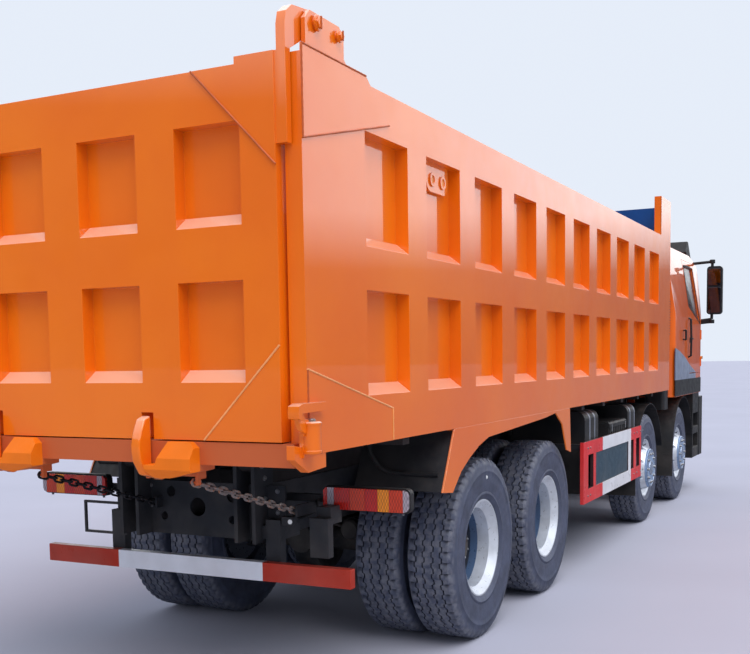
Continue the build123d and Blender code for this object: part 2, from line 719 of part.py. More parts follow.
def make_sides():
    """Side guards, fuel tank, boxes and the intake tower behind the cab."""
    save("side_guards", both_sides(guard()))
    x0 = GUARD_REAR + 420
    box_out = GUARD_OUT - GUARD_T - 60
    tank = block((x0, x0 + 1290), (FRAME_HALF + 90, box_out), (GUARD_LOW + 10, RAIL_BOTTOM + 120))
    tank = fillet(tank.edges().filter_by(Axis.X), 90)
    parts = [tank]
    for at in (x0 + 90, x0 + 1160):
        stay_z = (RAIL_BOTTOM + 20, RAIL_BOTTOM + 90)
        parts.append(block((at, at + 60), (FRAME_HALF, FRAME_HALF + 120), stay_z))
    save("fuel_tank", [joined(parts)])
    save("side_boxes", [side_case(*numbers) for numbers in SIDE_CASES])
    tower = block((HOIST_X - 110, HOIST_X + 130), (-1180, -960), (FRAME_TOP + 40, 2760))
    tower = fillet(tower.edges().filter_by(Axis.Z), 40)
    foot = block((HOIST_X - 60, HOIST_X + 60), (-962, -FRAME_HALF), (FRAME_TOP - 70, FRAME_TOP - 20))
    leg = block((HOIST_X - 60, HOIST_X + 60), (-1062, -960), (FRAME_TOP - 70, FRAME_TOP + 60))
    save("air_intake", [joined([tower, foot, leg])])


def arch(x, out):
    """Left mudguard over a steered wheel, with its stay to the rail and a flap behind."""
    y = (KINGPIN_Y + 5, out)
    outer = ARCH_R + ARCH_T
    ring = across(x, AXLE_Z, outer, y) - across(x, AXLE_Z, ARCH_R, (y[0] - 5, y[1] + 5))
    front = ring & block((x, x + outer), y, (AXLE_Z + 180, AXLE_Z + outer))
    rear = ring & block((x - outer, x + WELD), y, (AXLE_Z, AXLE_Z + outer))
    flap = block((x - outer, x - ARCH_R), y, (350, AXLE_Z + 40))
    stay = block((x - 18, x + 18), (FRAME_HALF, y[0] + WELD), (AXLE_Z + outer - 30, AXLE_Z + outer))
    lift = block((x - 18, x + 18), (FRAME_HALF, FRAME_HALF + 30), (FRAME_TOP - 100, AXLE_Z + outer))
    over = block((x - 18, x + 18), y, (AXLE_Z + outer - WELD, AXLE_Z + outer + 8))
    stay = stay - across(x, AXLE_Z, ARCH_R, (y[0] - 50, y[1]))
    return joined([front, rear, flap, stay, lift, over])


def make_front_low():
    """Arches over the steered wheels, steps, bumper and headlamps."""
    arches = both_sides(arch(AXLE_1, CAB_HALF - 20)) + both_sides(arch(AXLE_2, GUARD_OUT - GUARD_T - 10))
    save("wheel_arches", arches)
    x = (STEP_REAR, BUMPER_REAR - 4)
    step = block(x, (980, BUMPER_HALF - 8), (BUMPER_LOW, CAB_BOTTOM))
    for low in (520, 780):
        step = step - block((x[0] + 40, x[1] - 40), (1060, BUMPER_HALF + 10), (low + 40, low + 210))
    lug = block((x[0] + 200, x[0] + 300), (FRAME_HALF, 982), (FRAME_TOP - 120, FRAME_TOP - 40))
    save("cab_steps", both_sides(joined([step, lug])))
    bumper = block((BUMPER_REAR, FRONT_END), (-BUMPER_HALF, BUMPER_HALF), (BUMPER_LOW, BUMPER_TOP))
    bumper = fillet(bumper.edges().filter_by(Axis.Z).group_by(Axis.X)[-1], 160)
    room_y = (-BUMPER_HALF + 60, BUMPER_HALF - 60)
    hollow = block((BUMPER_REAR - 10, FRONT_END - 60), room_y, (BUMPER_LOW - 10, BUMPER_TOP + 10))
    bumper = bumper - hollow
    lamp_z = (760, 985)
    pockets = []
    for way in (-1, 1):
        y = sorted((way * 760, way * 1060))
        bumper = bumper - block((FRONT_END - 40, FRONT_END + 10), y, lamp_z)
        lamp_y = (y[0] + SEAT_GAP, y[1] - SEAT_GAP)
        inner_z = (lamp_z[0] + SEAT_GAP, lamp_z[1] - SEAT_GAP)
        pockets.append(block((FRONT_END - 40, FRONT_END - 6), lamp_y, inner_z))
    save("front_bumper", [bumper])
    save("headlamps", pockets)


# Cab

def cab_form(inset):
    """The cab's outside moved in by a wall: plan, side view and front view cut from each other."""
    rear = CAB_REAR + inset
    front = CAB_FRONT - inset
    half = CAB_HALF - inset
    low = CAB_BOTTOM + inset
    top = CAB_TOP - inset
    roof = CAB_ROOF_HALF - inset
    plan = block((rear, front), (-half, half), (low - 20, top + 20))
    upright = plan.edges().filter_by(Axis.Z).sort_by(Axis.X)
    plan = fillet(upright[-2:], CORNER_R - inset)
    plan = fillet(plan.edges().filter_by(Axis.Z).sort_by(Axis.X)[:2], 90 - inset * 0.8)
    side = side_plate([
        (rear, low), (front, low), (front, 1960), (front - 190, top - 170), (front - 420, top - 45),
        (front - 800, top), (rear + 260, top), (rear, top - 90),
    ], (-half - 10, half + 10))
    face = end_plate([
        (-half, low), (half, low), (half, CAB_SHOULDER), (roof + 10, top - 230), (roof - 60, top - 90),
        (roof - 240, top), (240 - roof, top), (60 - roof, top - 90), (-roof - 10, top - 230),
        (-half, CAB_SHOULDER),
    ], (rear - 10, front + 10))
    return plan & side & face


def door_outline(gap):
    """Door in X and Z, drawn in by a gap on every edge. At the top rear the gap is twice as wide."""
    return [
        (DOOR_REAR + gap, DOOR_LOW + gap), (DOOR_FRONT - gap, DOOR_LOW + gap),
        (DOOR_FRONT - gap, 2080), (DOOR_FRONT - 70 - gap, DOOR_TOP - gap),
        (DOOR_REAR + gap * 2.6, DOOR_TOP - gap), (DOOR_REAR + gap, CAB_SHOULDER),
    ]


def window_outline(gap):
    """Side window in X and Z: its sill runs down towards the front."""
    return [
        (DOOR_REAR + 80 + gap, SILL_REAR_Z + gap), (DOOR_FRONT - 90 - gap, SILL_FRONT_Z + gap),
        (DOOR_FRONT - 160 - gap, WINDOW_TOP - gap), (DOOR_REAR + 80 + gap, WINDOW_TOP - gap),
    ]


def screen_outline(gap):
    """Windscreen in Y and Z, narrower at the top, drawn in by a gap."""
    low, high = SCREEN_HALF[0] - gap, SCREEN_HALF[1] - gap
    z = (SCREEN_LOW + gap, WINDOW_TOP - gap)
    return [(-low, z[0]), (low, z[0]), (high, z[1]), (-high, z[1])]


def back_outline(gap):
    """Rear window in Y and Z, drawn in by a gap."""
    half = BACK_HALF - gap
    z = (BACK_LOW + gap, BACK_TOP - gap)
    return [(-half, z[0]), (half, z[0]), (half, z[1]), (-half, z[1])]


def hinge_post(radius, low, high):
    """Upright cylinder on the left door's hinge line."""
    return rod((HINGE_X, HINGE_Y, low), (HINGE_X, HINGE_Y, high), radius)


def hinge_knuckle(way, low, high):
    """Hinge knuckle with its leaf: forwards into the cab's post, or back into the door."""
    x = sorted((HINGE_X, HINGE_X + way * (HINGE_R + 2 * SWING_GAP)))
    leaf = block(x, (HINGE_Y - HINGE_R, HINGE_Y), (low, high))
    return hinge_post(HINGE_R, low, high) + leaf


def hinge_set(shell, door):
    """Cuts both hinges' room, then adds the cab's knuckles and pins and the left door's knuckles."""
    room = HINGE_R + SWING_GAP
    for z in HINGE_HEIGHTS:
        low, high = z - HINGE_HALF, z + HINGE_HALF
        mid_low, mid_high = z - HINGE_MID, z + HINGE_MID
        shell = shell - hinge_post(room, mid_low - SWING_GAP, mid_high + SWING_GAP)
        door = door - hinge_post(room, low - SWING_GAP, high + SWING_GAP)
        shell = joined([
            shell, hinge_knuckle(1, low, mid_low - SEAT_GAP), hinge_knuckle(1, mid_high + SEAT_GAP, high),
            hinge_post(HINGE_PIN_R, low, high),
        ])
        knuckle = hinge_knuckle(-1, mid_low, mid_high)
        door = joined([door, knuckle]) - hinge_post(HINGE_PIN_R + RUNNING_GAP, low, high)
    return shell, door


def make_cab():
    outer = cab_form(0)
    inner = cab_form(CAB_WALL)
    shell = outer - inner
    pane = cab_form(14) - cab_form(14 + GLASS_T)
    left = (CAB_HALF - 260, CAB_HALF + 40)
    opening = side_plate(door_outline(0), left)
    door = shell & side_plate(door_outline(DOOR_GAP), left)
    door = door - side_plate(window_outline(0), left)
    glass = pane & side_plate(window_outline(SEAT_GAP), left)
    screen_x = (CAB_FRONT - 420, CAB_FRONT + 40)
    back_x = (CAB_REAR - 20, CAB_REAR + CAB_WALL + 20)
    shell = shell - opening - other_side(opening)
    shell = shell - end_plate(screen_outline(0), screen_x) - end_plate(back_outline(0), back_x)
    feet = []
    for way in (-1, 1):
        for x in (CAB_REAR + 120, FRONT_END - 560):
            y = sorted((way * (FRAME_HALF - 80), way * FRAME_HALF))
            feet.append(block((x - 60, x + 60), y, (FRAME_TOP, CAB_BOTTOM + WELD)))
    shell = joined([shell] + feet)
    shell, door = hinge_set(shell, door)
    shell = other_side(hinge_set(other_side(shell), door)[0])
    save("cab_shell", [shell])
    for side, turn in (("left", False), ("right", True)):
        save("door_" + side, [other_side(door) if turn else door])
        save("door_glass_" + side, [other_side(glass) if turn else glass])
    front_pane = pane & end_plate(screen_outline(SEAT_GAP), screen_x)
    rear_pane = pane & end_plate(back_outline(SEAT_GAP), back_x)
    save("cab_glass", [front_pane, rear_pane])


def make_cab_fittings():
    """Seats, bunk, tunnel, dashboard and wheel; mirrors; visor and grille."""
    floor = CAB_BOTTOM + CAB_WALL
    front = CAB_FRONT - CAB_WALL
    tunnel = block((CAB_REAR + 760, front - 440), (-330, 330), (floor, floor + 330))
    room = cab_form(CAB_WALL + SEAT_GAP)
    dash = side_plate([
        (front - 420, floor + 300), (front - 4, floor + 100), (front - 4, 1950), (front - 250, 1990),
        (front - 430, 1800),
    ], (-980, 980))
    column = rod((front - 380, 560, 1820), (front - 560, 560, 1960), 28)
    wheel_place = Plane(origin=(front - 570, 560, 1968), z_dir=(-180, 0, 140))
    ring = wheel_place * Torus(215, 16)
    spoke = wheel_place * (Box(400, 46, 14) + Cylinder(60, 30))
    parts = [joined([dash & room, column, ring, spoke])]
    parts.append(tunnel)
    for y in (-660, 660):
        base = block((CAB_REAR + 930, CAB_REAR + 1420), (y - 250, y + 250), (floor, floor + 430))
        back = side_plate([
            (CAB_REAR + 840, floor + 430), (CAB_REAR + 990, floor + 400), (CAB_REAR + 900, floor + 1080),
            (CAB_REAR + 800, floor + 1080),
        ], (y - 240, y + 240))
        parts.append(joined([base, back]))
    bunk = block((CAB_REAR + CAB_WALL, CAB_REAR + 700), (-1100, 1100), (floor, floor + 430))
    parts.append(bunk & room)
    save("cab_interior", parts)
    housing = block((MIRROR_X - 40, MIRROR_X + 45), (MIRROR_IN, MIRROR_OUT), (MIRROR_LOW, MIRROR_TOP))
    housing = fillet(housing.edges().filter_by(Axis.X), 40)
    mid = MIRROR_IN + 60
    upper = rod((MIRROR_X, mid, MIRROR_TOP - 30), (MIRROR_X, mid, MIRROR_TOP + 60), 18)
    upper = upper + rod((MIRROR_X, mid, MIRROR_TOP + 60), (MIRROR_X, 1000, MIRROR_TOP + 40), 18)
    lower = rod((MIRROR_X, mid, MIRROR_LOW + 30), (MIRROR_X, mid, MIRROR_LOW - 60), 18)
    lower = lower + rod((MIRROR_X, mid, MIRROR_LOW - 60), (MIRROR_X, 1080, MIRROR_LOW - 90), 18)
    mirror_set = joined([housing, upper, lower]) - cab_form(0)
    mirror_set = mirror_set.solids().sort_by(Axis.Y)[-1]
    save("mirrors", both_sides(mirror_set))
    grille = block((CAB_FRONT, CAB_FRONT + 16), (-760, 760), (CAB_BOTTOM + 40, 1880))
    for k in range(5):
        z = CAB_BOTTOM + 110 + k * 105
        grille = grille - block((CAB_FRONT + 6, CAB_FRONT + 30), (-700, 700), (z, z + 55))
    visor = side_plate([
        (CAB_FRONT - 250, 2860), (CAB_FRONT - 40, 2850), (CAB_FRONT - 20, 2880), (CAB_FRONT - 330, 3170),
        (CAB_FRONT - 400, 3170), (CAB_FRONT - 480, 3030),
    ], (-1060, 1060))
    visor = visor - cab_form(0)
    save("cab_trim", [grille, visor.solids().sort_by(SortBy.VOLUME)[-1]])


# Load bed

def bay_starts():
    return [BED_REAR + FIRST_BAY + k * BAY_PITCH for k in range(BAYS)]


def pocket(x, z):
    """Cutter for one side panel pocket, its bottom a sloping ledge."""
    sheet_y = BED_HALF - POCKET_DEPTH
    outside = BED_HALF + 10
    slope = LEDGE_RISE / POCKET_DEPTH
    return end_plate([
        (sheet_y, z[0] + LEDGE_RISE), (outside, z[0] - slope * 10), (outside, z[1]), (sheet_y, z[1]),
    ], x)


def bed_side():
    """Left side wall: inner sheet, rails and ribs outside it, the tall front post, the hinge ear."""
    wall = block((BED_REAR, BED_FRONT), (INNER_HALF, BED_HALF), (BED_BOTTOM, BED_TOP))
    cuts = []
    for x in bay_starts():
        for z in ((LOW_RAIL_TOP, MID_RAIL_LOW), (MID_RAIL_TOP, BED_TOP - TOP_RAIL)):
            cuts.append(pocket((x, x + BAY_WIDTH), z))
    for cut in cuts:
        wall = wall - cut
    post_x = (BED_FRONT - POST_WIDTH, BED_FRONT)
    post = block(post_x, (INNER_HALF + SHEET, BED_HALF), (BED_TOP - WELD, POST_TOP))
    skin = (BED_HALF - WELD, BED_HALF + DOUBLER)
    upper = side_plate([
        (BED_REAR, 2635), (BED_REAR + 805, 2833), (BED_REAR + 572, BED_TOP + 31), (BED_REAR, BED_TOP + 31),
    ], skin)
    lower = side_plate([
        (BED_REAR, BED_BOTTOM), (BED_REAR + 807, BED_BOTTOM), (BED_REAR + 807, 1503), (BED_REAR, 1703),
    ], skin)
    ear_y = (EAR_IN, EAR_IN + EAR_T)
    ear = side_plate([
        (GATE_PIN_X - 84, BED_TOP - WELD), (EAR_FRONT + 90, BED_TOP - WELD), (EAR_FRONT, 3040),
        (EAR_FRONT, EAR_TOP - 40), (EAR_FRONT - 40, EAR_TOP), (GATE_PIN_X - 44, EAR_TOP),
        (GATE_PIN_X - 84, EAR_TOP - 40),
    ], ear_y)
    pin = across(GATE_PIN_X, GATE_PIN_Z, GATE_PIN_R, (GATE_HALF + 2, EAR_IN + EAR_T + 14))
    bolt = across(EAR_FRONT - 60, GATE_PIN_Z - 3, 18, (EAR_IN - 10, EAR_IN + EAR_T + 12))
    lug = side_plate([
        (REAR_END + 30, 1395), (BED_REAR + 150, 1349), (BED_REAR + 150, 1284), (BED_REAR, 1274),
        (REAR_END + 30, 1336),
    ], (SILL_HALF + 2, BED_HALF))
    return joined([wall, post, upper, lower, ear, pin, bolt, lug])


def bed_floor():
    """Floor plate on cross bearers and two longerons, with the rear sill and the hinge lugs."""
    rear = GATE_REAR + GATE_DEPTH + 10
    head = BED_FRONT - HEAD_DEPTH - SHEET
    plate = block((rear, head), (-INNER_HALF, INNER_HALF), (FLOOR_TOP - FLOOR_T, FLOOR_TOP))
    under = FLOOR_TOP - FLOOR_T
    low = under - BEARER_H
    parts = [plate]
    for x in bay_starts():
        mid = x + BAY_WIDTH + (BAY_PITCH - BAY_WIDTH) / 2
        bearer_x = (mid - BEARER_W / 2, mid + BEARER_W / 2)
        parts.append(block(bearer_x, (-INNER_HALF, INNER_HALF), (low, under)))
    tail = (GATE_REAR, GATE_REAR + 160)
    sill_top = GATE_BOTTOM - SWING_GAP
    parts.append(block(tail, (-INNER_HALF, INNER_HALF), (SILL_LOW, sill_top)))
    parts.append(block(tail, (-SILL_HALF, SILL_HALF), (SILL_LOW, BED_BOTTOM)))
    parts.append(block((GATE_REAR, BED_REAR), (-SILL_HALF, SILL_HALF), (SILL_LOW, sill_top)))
    edge_z = (sill_top - WELD, FLOOR_TOP - FLOOR_T / 2)
    parts.append(block((rear, tail[1]), (-INNER_HALF, INNER_HALF), edge_z))
    for way in (-1, 1):
        inner_y = FRAME_HALF - RAIL_FLANGE
        lug_y = sorted((way * (inner_y + SWING_GAP), way * (FRAME_HALF - SWING_GAP)))
        beam = block((TIP_X + TIP_EAR_R + 70, head), lug_y, (FRAME_TOP + SEAT_GAP, low + WELD))
        neck = block((TIP_X - TIP_EAR_R + 2, TIP_X + TIP_EAR_R + 72), lug_y, (TIP_Z, under))
        tail_beam = block((tail[1] - WELD, TIP_X + TIP_EAR_R), lug_y, (low, under))
        eye = across(TIP_X, TIP_Z, TIP_EAR_R - 2, lug_y)
        parts += [beam, neck, tail_beam, eye]
        for hook_side in hook_brackets(way):
            parts.append(hook_side)
    whole = joined(parts)
    for way in (-1, 1):
        y = sorted((way * (FRAME_HALF - RAIL_FLANGE - 30), way * (FRAME_HALF + 30)))
        whole = whole - across(TIP_X, TIP_Z, TIP_PIN_R + RUNNING_GAP, y)
    return whole


def hook_brackets(way):
    """One gate hook's bearings: a cheek on its left, a heavy block on its right, and its pin."""
    mid = way * HOOK_Y
    near = mid + HOOK_T / 2 + SWING_GAP
    cheeks = [side_plate([
        (HOOK_PIN_X - 36, HOOK_PIN_Z - 30), (HOOK_PIN_X + 36, HOOK_PIN_Z - 30),
        (HOOK_PIN_X + 60, SILL_LOW + 20), (HOOK_PIN_X - 40, SILL_LOW + 20),
    ], (near, near + HOOK_CHEEK))]
    y = mid - HOOK_T / 2 - SWING_GAP
    end = y - HOOK_BLOCK_W
    top = GATE_BOTTOM - SWING_GAP
    block_form = end_plate([
        (y, HOOK_BLOCK_LOW + 28), (y - 26, HOOK_BLOCK_LOW), (y - 110, HOOK_BLOCK_LOW), (end, HOOK_BLOCK_LOW + 32),
        (end, top - 26), (end + 30, top), (y - 100, top), (y - 60, SILL_LOW), (y, SILL_LOW),
    ], (HOOK_BLOCK_REAR, HOOK_PIN_X + 34))
    side_form = side_plate([
        (HOOK_BLOCK_REAR, HOOK_BLOCK_LOW + 40), (HOOK_BLOCK_REAR + 40, HOOK_BLOCK_LOW),
        (HOOK_PIN_X + 34, HOOK_BLOCK_LOW), (HOOK_PIN_X + 34, SILL_LOW + 20), (GATE_REAR + 20, SILL_LOW + 20),
        (GATE_REAR + 20, top), (GATE_REAR - 30, top), (HOOK_BLOCK_REAR, SILL_LOW + 30),
    ], (end - 5, y + 5))
    cheeks.append(block_form & side_form)
    chain_y = mid + CHAIN_OFFSET
    shaft_y = (chain_y - 44, mid + HOOK_T / 2 + 32)
    cheeks.append(across(HOOK_PIN_X, HOOK_PIN_Z, HOOK_PIN_R, shaft_y))
    plate_z = (HOOK_PIN_Z - 26, SILL_LOW + 10)
    cheeks.append(block((HOOK_PIN_X - 30, HOOK_PIN_X + 30), (chain_y - 46, chain_y - 30), plate_z))
    drop = HOOK_PIN_Z - CHAIN_DROP
    strap_z = (drop - 12, HOOK_PIN_Z)
    cheeks.append(block((HOOK_PIN_X - 12, HOOK_PIN_X + 12), (chain_y - 30, chain_y - 16), strap_z))
    cheeks.append(across(HOOK_PIN_X, drop, CHAIN_PIN_R, (chain_y - 20, chain_y + 16)))
    return cheeks


def gate_hook(way):
    """Curved claw that comes up behind the tailgate from its pin under the sill."""
    y = (way * HOOK_Y - HOOK_T / 2, way * HOOK_Y + HOOK_T / 2)
    back = REAR_END
    face = GATE_REAR - SWING_GAP
    under = SILL_LOW - SWING_GAP
    claw = side_plate([
        (HOOK_PIN_X, HOOK_PIN_Z - HOOK_BOSS), (HOOK_PIN_X, HOOK_PIN_Z + HOOK_BOSS), (face, under),
        (face, HOOK_TOP), (face - 44, HOOK_TOP - 14), (back + 18, 1440), (back, 1380), (back + 6, 1310),
        (back + 50, 1244),
    ], y)
    claw = claw + across(HOOK_PIN_X, HOOK_PIN_Z, HOOK_BOSS, y)
    return claw - across(HOOK_PIN_X, HOOK_PIN_Z, HOOK_PIN_R + RUNNING_GAP, (y[0] - 10, y[1] + 10))


def headboard():
    """Front wall: sheet on the inside, rails and ribs on the outside, ears for the hoist."""
    x0 = BED_FRONT - HEAD_DEPTH - SHEET
    x1 = BED_FRONT - SHEET
    wall = block((x0, x1), (-INNER_HALF, INNER_HALF), (BED_BOTTOM, HEAD_TOP))
    ribs = 4
    width = 2 * INNER_HALF
    rib = 120
    gap = (width - (ribs + 1) * rib) / ribs
    for row in ((BED_BOTTOM + 200, 2100), (2250, HEAD_TOP - 200)):
        for k in range(ribs):
            y = -INNER_HALF + rib + k * (gap + rib)
            wall = wall - block((x0 + SHEET, x1 + 10), (y, y + gap), row)
    parts = [wall]
    for way in (-1, 1):
        y = sorted((way * (HOIST_R + 8), way * (HOIST_R + 34)))
        ear = side_plate([
            (x0 + 4, HOIST_PIN_Z - 110), (HOIST_X, HOIST_PIN_Z - 62), (HOIST_X, HOIST_PIN_Z + 62),
            (x0 + 4, HOIST_PIN_Z + 110),
        ], y) + across(HOIST_X, HOIST_PIN_Z, 62, y)
        parts.append(ear - across(HOIST_X, HOIST_PIN_Z, 30 + RUNNING_GAP, (y[0] - 5, y[1] + 5)))
    pad_z = (HOIST_PIN_Z - 110, HOIST_PIN_Z + 110)
    parts.append(block((x0 + 4, x0 + 40), (-HOIST_R - 34, HOIST_R + 34), pad_z))
    return joined(parts)


def fender():
    """Left skirt that hangs from the bed's side over the two rear wheels."""
    line = [
        (-655, BED_BOTTOM), (-831, 1010), (-688, 993), (-560, 1098), (-426, 1163), (-270, 1222),
        (-110, 1260),
        (1019, 1308), (1286, 1329), (1452, 1238), (1572, 1035), (1681, 1010), (1651, BED_BOTTOM),
    ]
    points = [(AXLE_4 + x, z) for x, z in line]
    face = side_plate(points, (BED_HALF - 12, BED_HALF))
    flange = block((AXLE_4 - 640, AXLE_4 + 1640), (BED_HALF - 60, BED_HALF), (BED_BOTTOM - 12, BED_BOTTOM))
    return joined([face, flange])


def mudflap():
    """Left sloping plate behind the rear wheels, hung from a stay under the bed."""
    plate = side_plate([
        (AXLE_4 - 640, BED_BOTTOM - 14), (AXLE_4 - 826, 1012), (AXLE_4 - 816, 1008),
        (AXLE_4 - 630, BED_BOTTOM - 14),
    ], (700, BED_HALF - 14))
    top = block((AXLE_4 - 640, AXLE_4 - 600), (700, INNER_HALF), (BED_BOTTOM - 30, FLOOR_TOP - FLOOR_T))
    return joined([plate, top])


def tailgate():
    """Tailgate: sheet, rails and ribs, corner plates, slots that swing past the hooks, hinge arms."""
    inner = GATE_REAR + GATE_DEPTH
    wall = block((GATE_REAR, inner), (-GATE_HALF, GATE_HALF), (GATE_BOTTOM, GATE_TOP))
    edges = [GATE_RIB / 2, GATE_RIB_Y - GATE_RIB / 2, GATE_RIB_Y + GATE_RIB / 2, GATE_HALF - GATE_STILE]
    spans = [(edges[0], edges[1]), (edges[2], edges[3])]
    rows = ((GATE_LOW_TOP, GATE_MID_LOW), (GATE_MID_TOP, GATE_TOP - GATE_TOP_RAIL))
    depth = GATE_DEPTH - GATE_SHEET
    for z in rows:
        cut_xz = [
            (GATE_REAR - 10, z[0] - LEDGE_RISE / depth * 10), (GATE_REAR + depth, z[0] + LEDGE_RISE),
            (GATE_REAR + depth, z[1]), (GATE_REAR - 10, z[1]),
        ]
        for near, far in spans:
            wall = wall - side_plate(cut_xz, (near, far)) - side_plate(cut_xz, (-far, -near))
    for way in (-1, 1):
        slot_y = (way * HOOK_Y - HOOK_SLOT / 2, way * HOOK_Y + HOOK_SLOT / 2)
        slot_x = (GATE_REAR - 10, inner + 10)
        wall = wall - block(slot_x, slot_y, (GATE_BOTTOM - 10, HOOK_TOP + 12))
    parts = [wall]
    skin = (GATE_REAR - DOUBLER, GATE_REAR + WELD)
    for way in (-1, 1):
        edge = way * GATE_HALF
        upper = [(edge - way * 408, GATE_TOP), (edge, GATE_TOP), (edge, GATE_TOP - 417)]
        lower = [(edge - way * 391, GATE_BOTTOM), (edge, GATE_BOTTOM), (edge, GATE_BOTTOM + 402)]
        parts += [end_plate(upper, skin), end_plate(lower, skin)]
        raised_y = sorted((way * (GATE_HALF - 190), way * GATE_HALF))
        parts.append(block((GATE_REAR - DOUBLER, inner), raised_y, (GATE_TOP - WELD, GATE_TOP + 30)))
        parts.append(gate_arm(way))
    return joined(parts)


def gate_arm(way):
    """Arm up the tailgate's edge, forward over the side wall to the hinge pin."""
    near = GATE_HALF + 10
    y = sorted((way * near, way * (near + GATE_ARM_T)))
    front = BED_REAR - SWING_GAP
    strip = side_plate([
        (GATE_REAR, 2613), (front, 2613), (front, BED_TOP + 12), (GATE_PIN_X - 20, GATE_PIN_Z - 54),
        (GATE_PIN_X, GATE_PIN_Z + GATE_ARM_EYE), (GATE_REAR + 60, 3165), (GATE_REAR + 14, 3130),
        (GATE_REAR, 3080),
    ], y)
    eye = across(GATE_PIN_X, GATE_PIN_Z, GATE_ARM_EYE, y)
    neck_y = sorted((way * (GATE_HALF - 20), way * (near + WELD)))
    neck = block((GATE_REAR, front), neck_y, (2613, GATE_TOP + 30))
    whole = joined([strip, eye, neck])
    bore_y = (y[0] - 10, y[1] + 10)
    return whole - across(GATE_PIN_X, GATE_PIN_Z, GATE_PIN_R + RUNNING_GAP, bore_y)


def make_bed():
    side = bed_side()
    save("bed_side_left", [side])
    save("bed_side_right", [other_side(side)])
    save("bed_floor", [bed_floor()])
    save("headboard", [headboard()])
    save("bed_fenders", both_sides(fender()))
    save("mudflaps", both_sides(mudflap()))
    save("tailgate", [tailgate()])
    save("gate_hook_left", [gate_hook(1)])
    save("gate_hook_right", [gate_hook(-1)])
    save("lock_chains", chain(HOOK_Y + CHAIN_OFFSET) + chain(-HOOK_Y + CHAIN_OFFSET))


# Front hoist

def hoist_numbers():
    """Stroke and lean of the hoist over the bed's whole travel."""
    arm_x = HOIST_X - TIP_X
    arm_z = HOIST_PIN_Z - TIP_Z
    start = atan2(arm_z, arm_x)
    reach = hypot(arm_x, arm_z)
    top_x = TIP_X + reach * cos(start + radians(TIP_LIMIT))
    top_z = TIP_Z + reach * sin(start + radians(TIP_LIMIT))
    full = hypot(top_x - HOIST_X, top_z - HOIST_BASE_Z)
    stroke = full - (HOIST_PIN_Z - HOIST_BASE_Z)
    lean = degrees(atan2(HOIST_X - top_x, top_z - HOIST_BASE_Z))
    return stroke, lean


def make_hoist():
    low = HOIST_BASE_Z + HOIST_FOOT
    top = low + HOIST_TUBE
    radius = HOIST_R
    bore = radius - HOIST_WALL
    cover = rod((HOIST_X, 0, low + 60), (HOIST_X, 0, top + 20), radius)
    cover = cover - rod((HOIST_X, 0, low - 10), (HOIST_X, 0, top), bore)
    for way in (-1, 1):
        y = sorted((way * (radius - HOIST_WALL + 4), way * (radius + 36)))
        cover = cover + across(HOIST_X, HOIST_PIN_Z, 30, y)
    save("hoist_cover", [cover])
    for stage in range(1, HOIST_STAGES + 1):
        radius = bore - 0.6
        bore = radius - HOIST_WALL
        start = low + 60 - 15 * stage
        tube = rod((HOIST_X, 0, start), (HOIST_X, 0, top - 10 * stage), radius)
        if stage < HOIST_STAGES:
            tube = tube - rod((HOIST_X, 0, start - 10), (HOIST_X, 0, top), bore)
        else:
            foot = block((HOIST_X - 40, HOIST_X + 40), (-30, 30), (HOIST_BASE_Z, start + WELD))
            foot = foot + rod((HOIST_X, 0, start - 20), (HOIST_X, 0, start + WELD), radius - 4)
            tube = (tube + foot) - across(HOIST_X, HOIST_BASE_Z, 25 + SWING_GAP, (-60, 60))
        save("hoist_stage_%d" % stage, [tube])


def main():
    os.makedirs("parts", exist_ok=True)
    make_wheels()
    make_frame()
    make_axles()
    make_powertrain()
    make_rear_end()
    make_sides()
    make_front_low()
    make_cab()
    make_cab_fittings()
    make_bed()
    make_hoist()
    stroke, lean = hoist_numbers()
    print("hoist stroke", round(stroke, 1), "lean", round(lean, 2), "overall", OVERALL)


main()
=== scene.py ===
"""Looks for a four-axle tipper truck with a high-sided steel load bed.

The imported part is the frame, in metres. Sizes here are in millimetres in the same axes: +X to the
cab's front, +Y to the left, +Z up, with the ground at 0.
"""
from math import cos, pi, radians, sin

import bpy
from mathutils import Matrix, Vector

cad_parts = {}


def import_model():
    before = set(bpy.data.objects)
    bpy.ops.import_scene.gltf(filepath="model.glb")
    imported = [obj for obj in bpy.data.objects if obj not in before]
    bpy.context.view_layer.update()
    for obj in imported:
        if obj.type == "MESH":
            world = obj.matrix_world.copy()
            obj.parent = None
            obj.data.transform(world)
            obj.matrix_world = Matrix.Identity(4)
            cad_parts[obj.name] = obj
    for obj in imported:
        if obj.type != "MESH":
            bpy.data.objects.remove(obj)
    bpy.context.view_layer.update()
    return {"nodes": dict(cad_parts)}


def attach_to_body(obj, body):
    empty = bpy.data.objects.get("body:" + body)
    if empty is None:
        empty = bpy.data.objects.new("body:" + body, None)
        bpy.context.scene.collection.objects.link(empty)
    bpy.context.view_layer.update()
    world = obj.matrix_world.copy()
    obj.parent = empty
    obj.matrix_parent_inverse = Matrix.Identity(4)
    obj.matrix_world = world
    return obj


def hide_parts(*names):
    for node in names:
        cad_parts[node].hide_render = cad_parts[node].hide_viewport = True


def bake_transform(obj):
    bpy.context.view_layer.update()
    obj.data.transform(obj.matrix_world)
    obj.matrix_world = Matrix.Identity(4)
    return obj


MM = 0.001

# Places that the part's own numbers give
AXLES = (3775, 1975, -1525, -2875)
AXLE_Z = 561
TYRE_R = 561
FRONT_TYRE_Y = 1020
TWIN_TYRE_Y = (690, 1034)
BED_HALF = 1250
GATE_REAR = -5181
GATE_HALF = 1155
CAB_FRONT = 5245
CAB_HALF = 1240

# Where corners of a mesh stay crisp, in degrees
CREASE = 35
CAD_CREASE = 30
CAD_FLAT = 0.4
TYRE_CREASE = 40

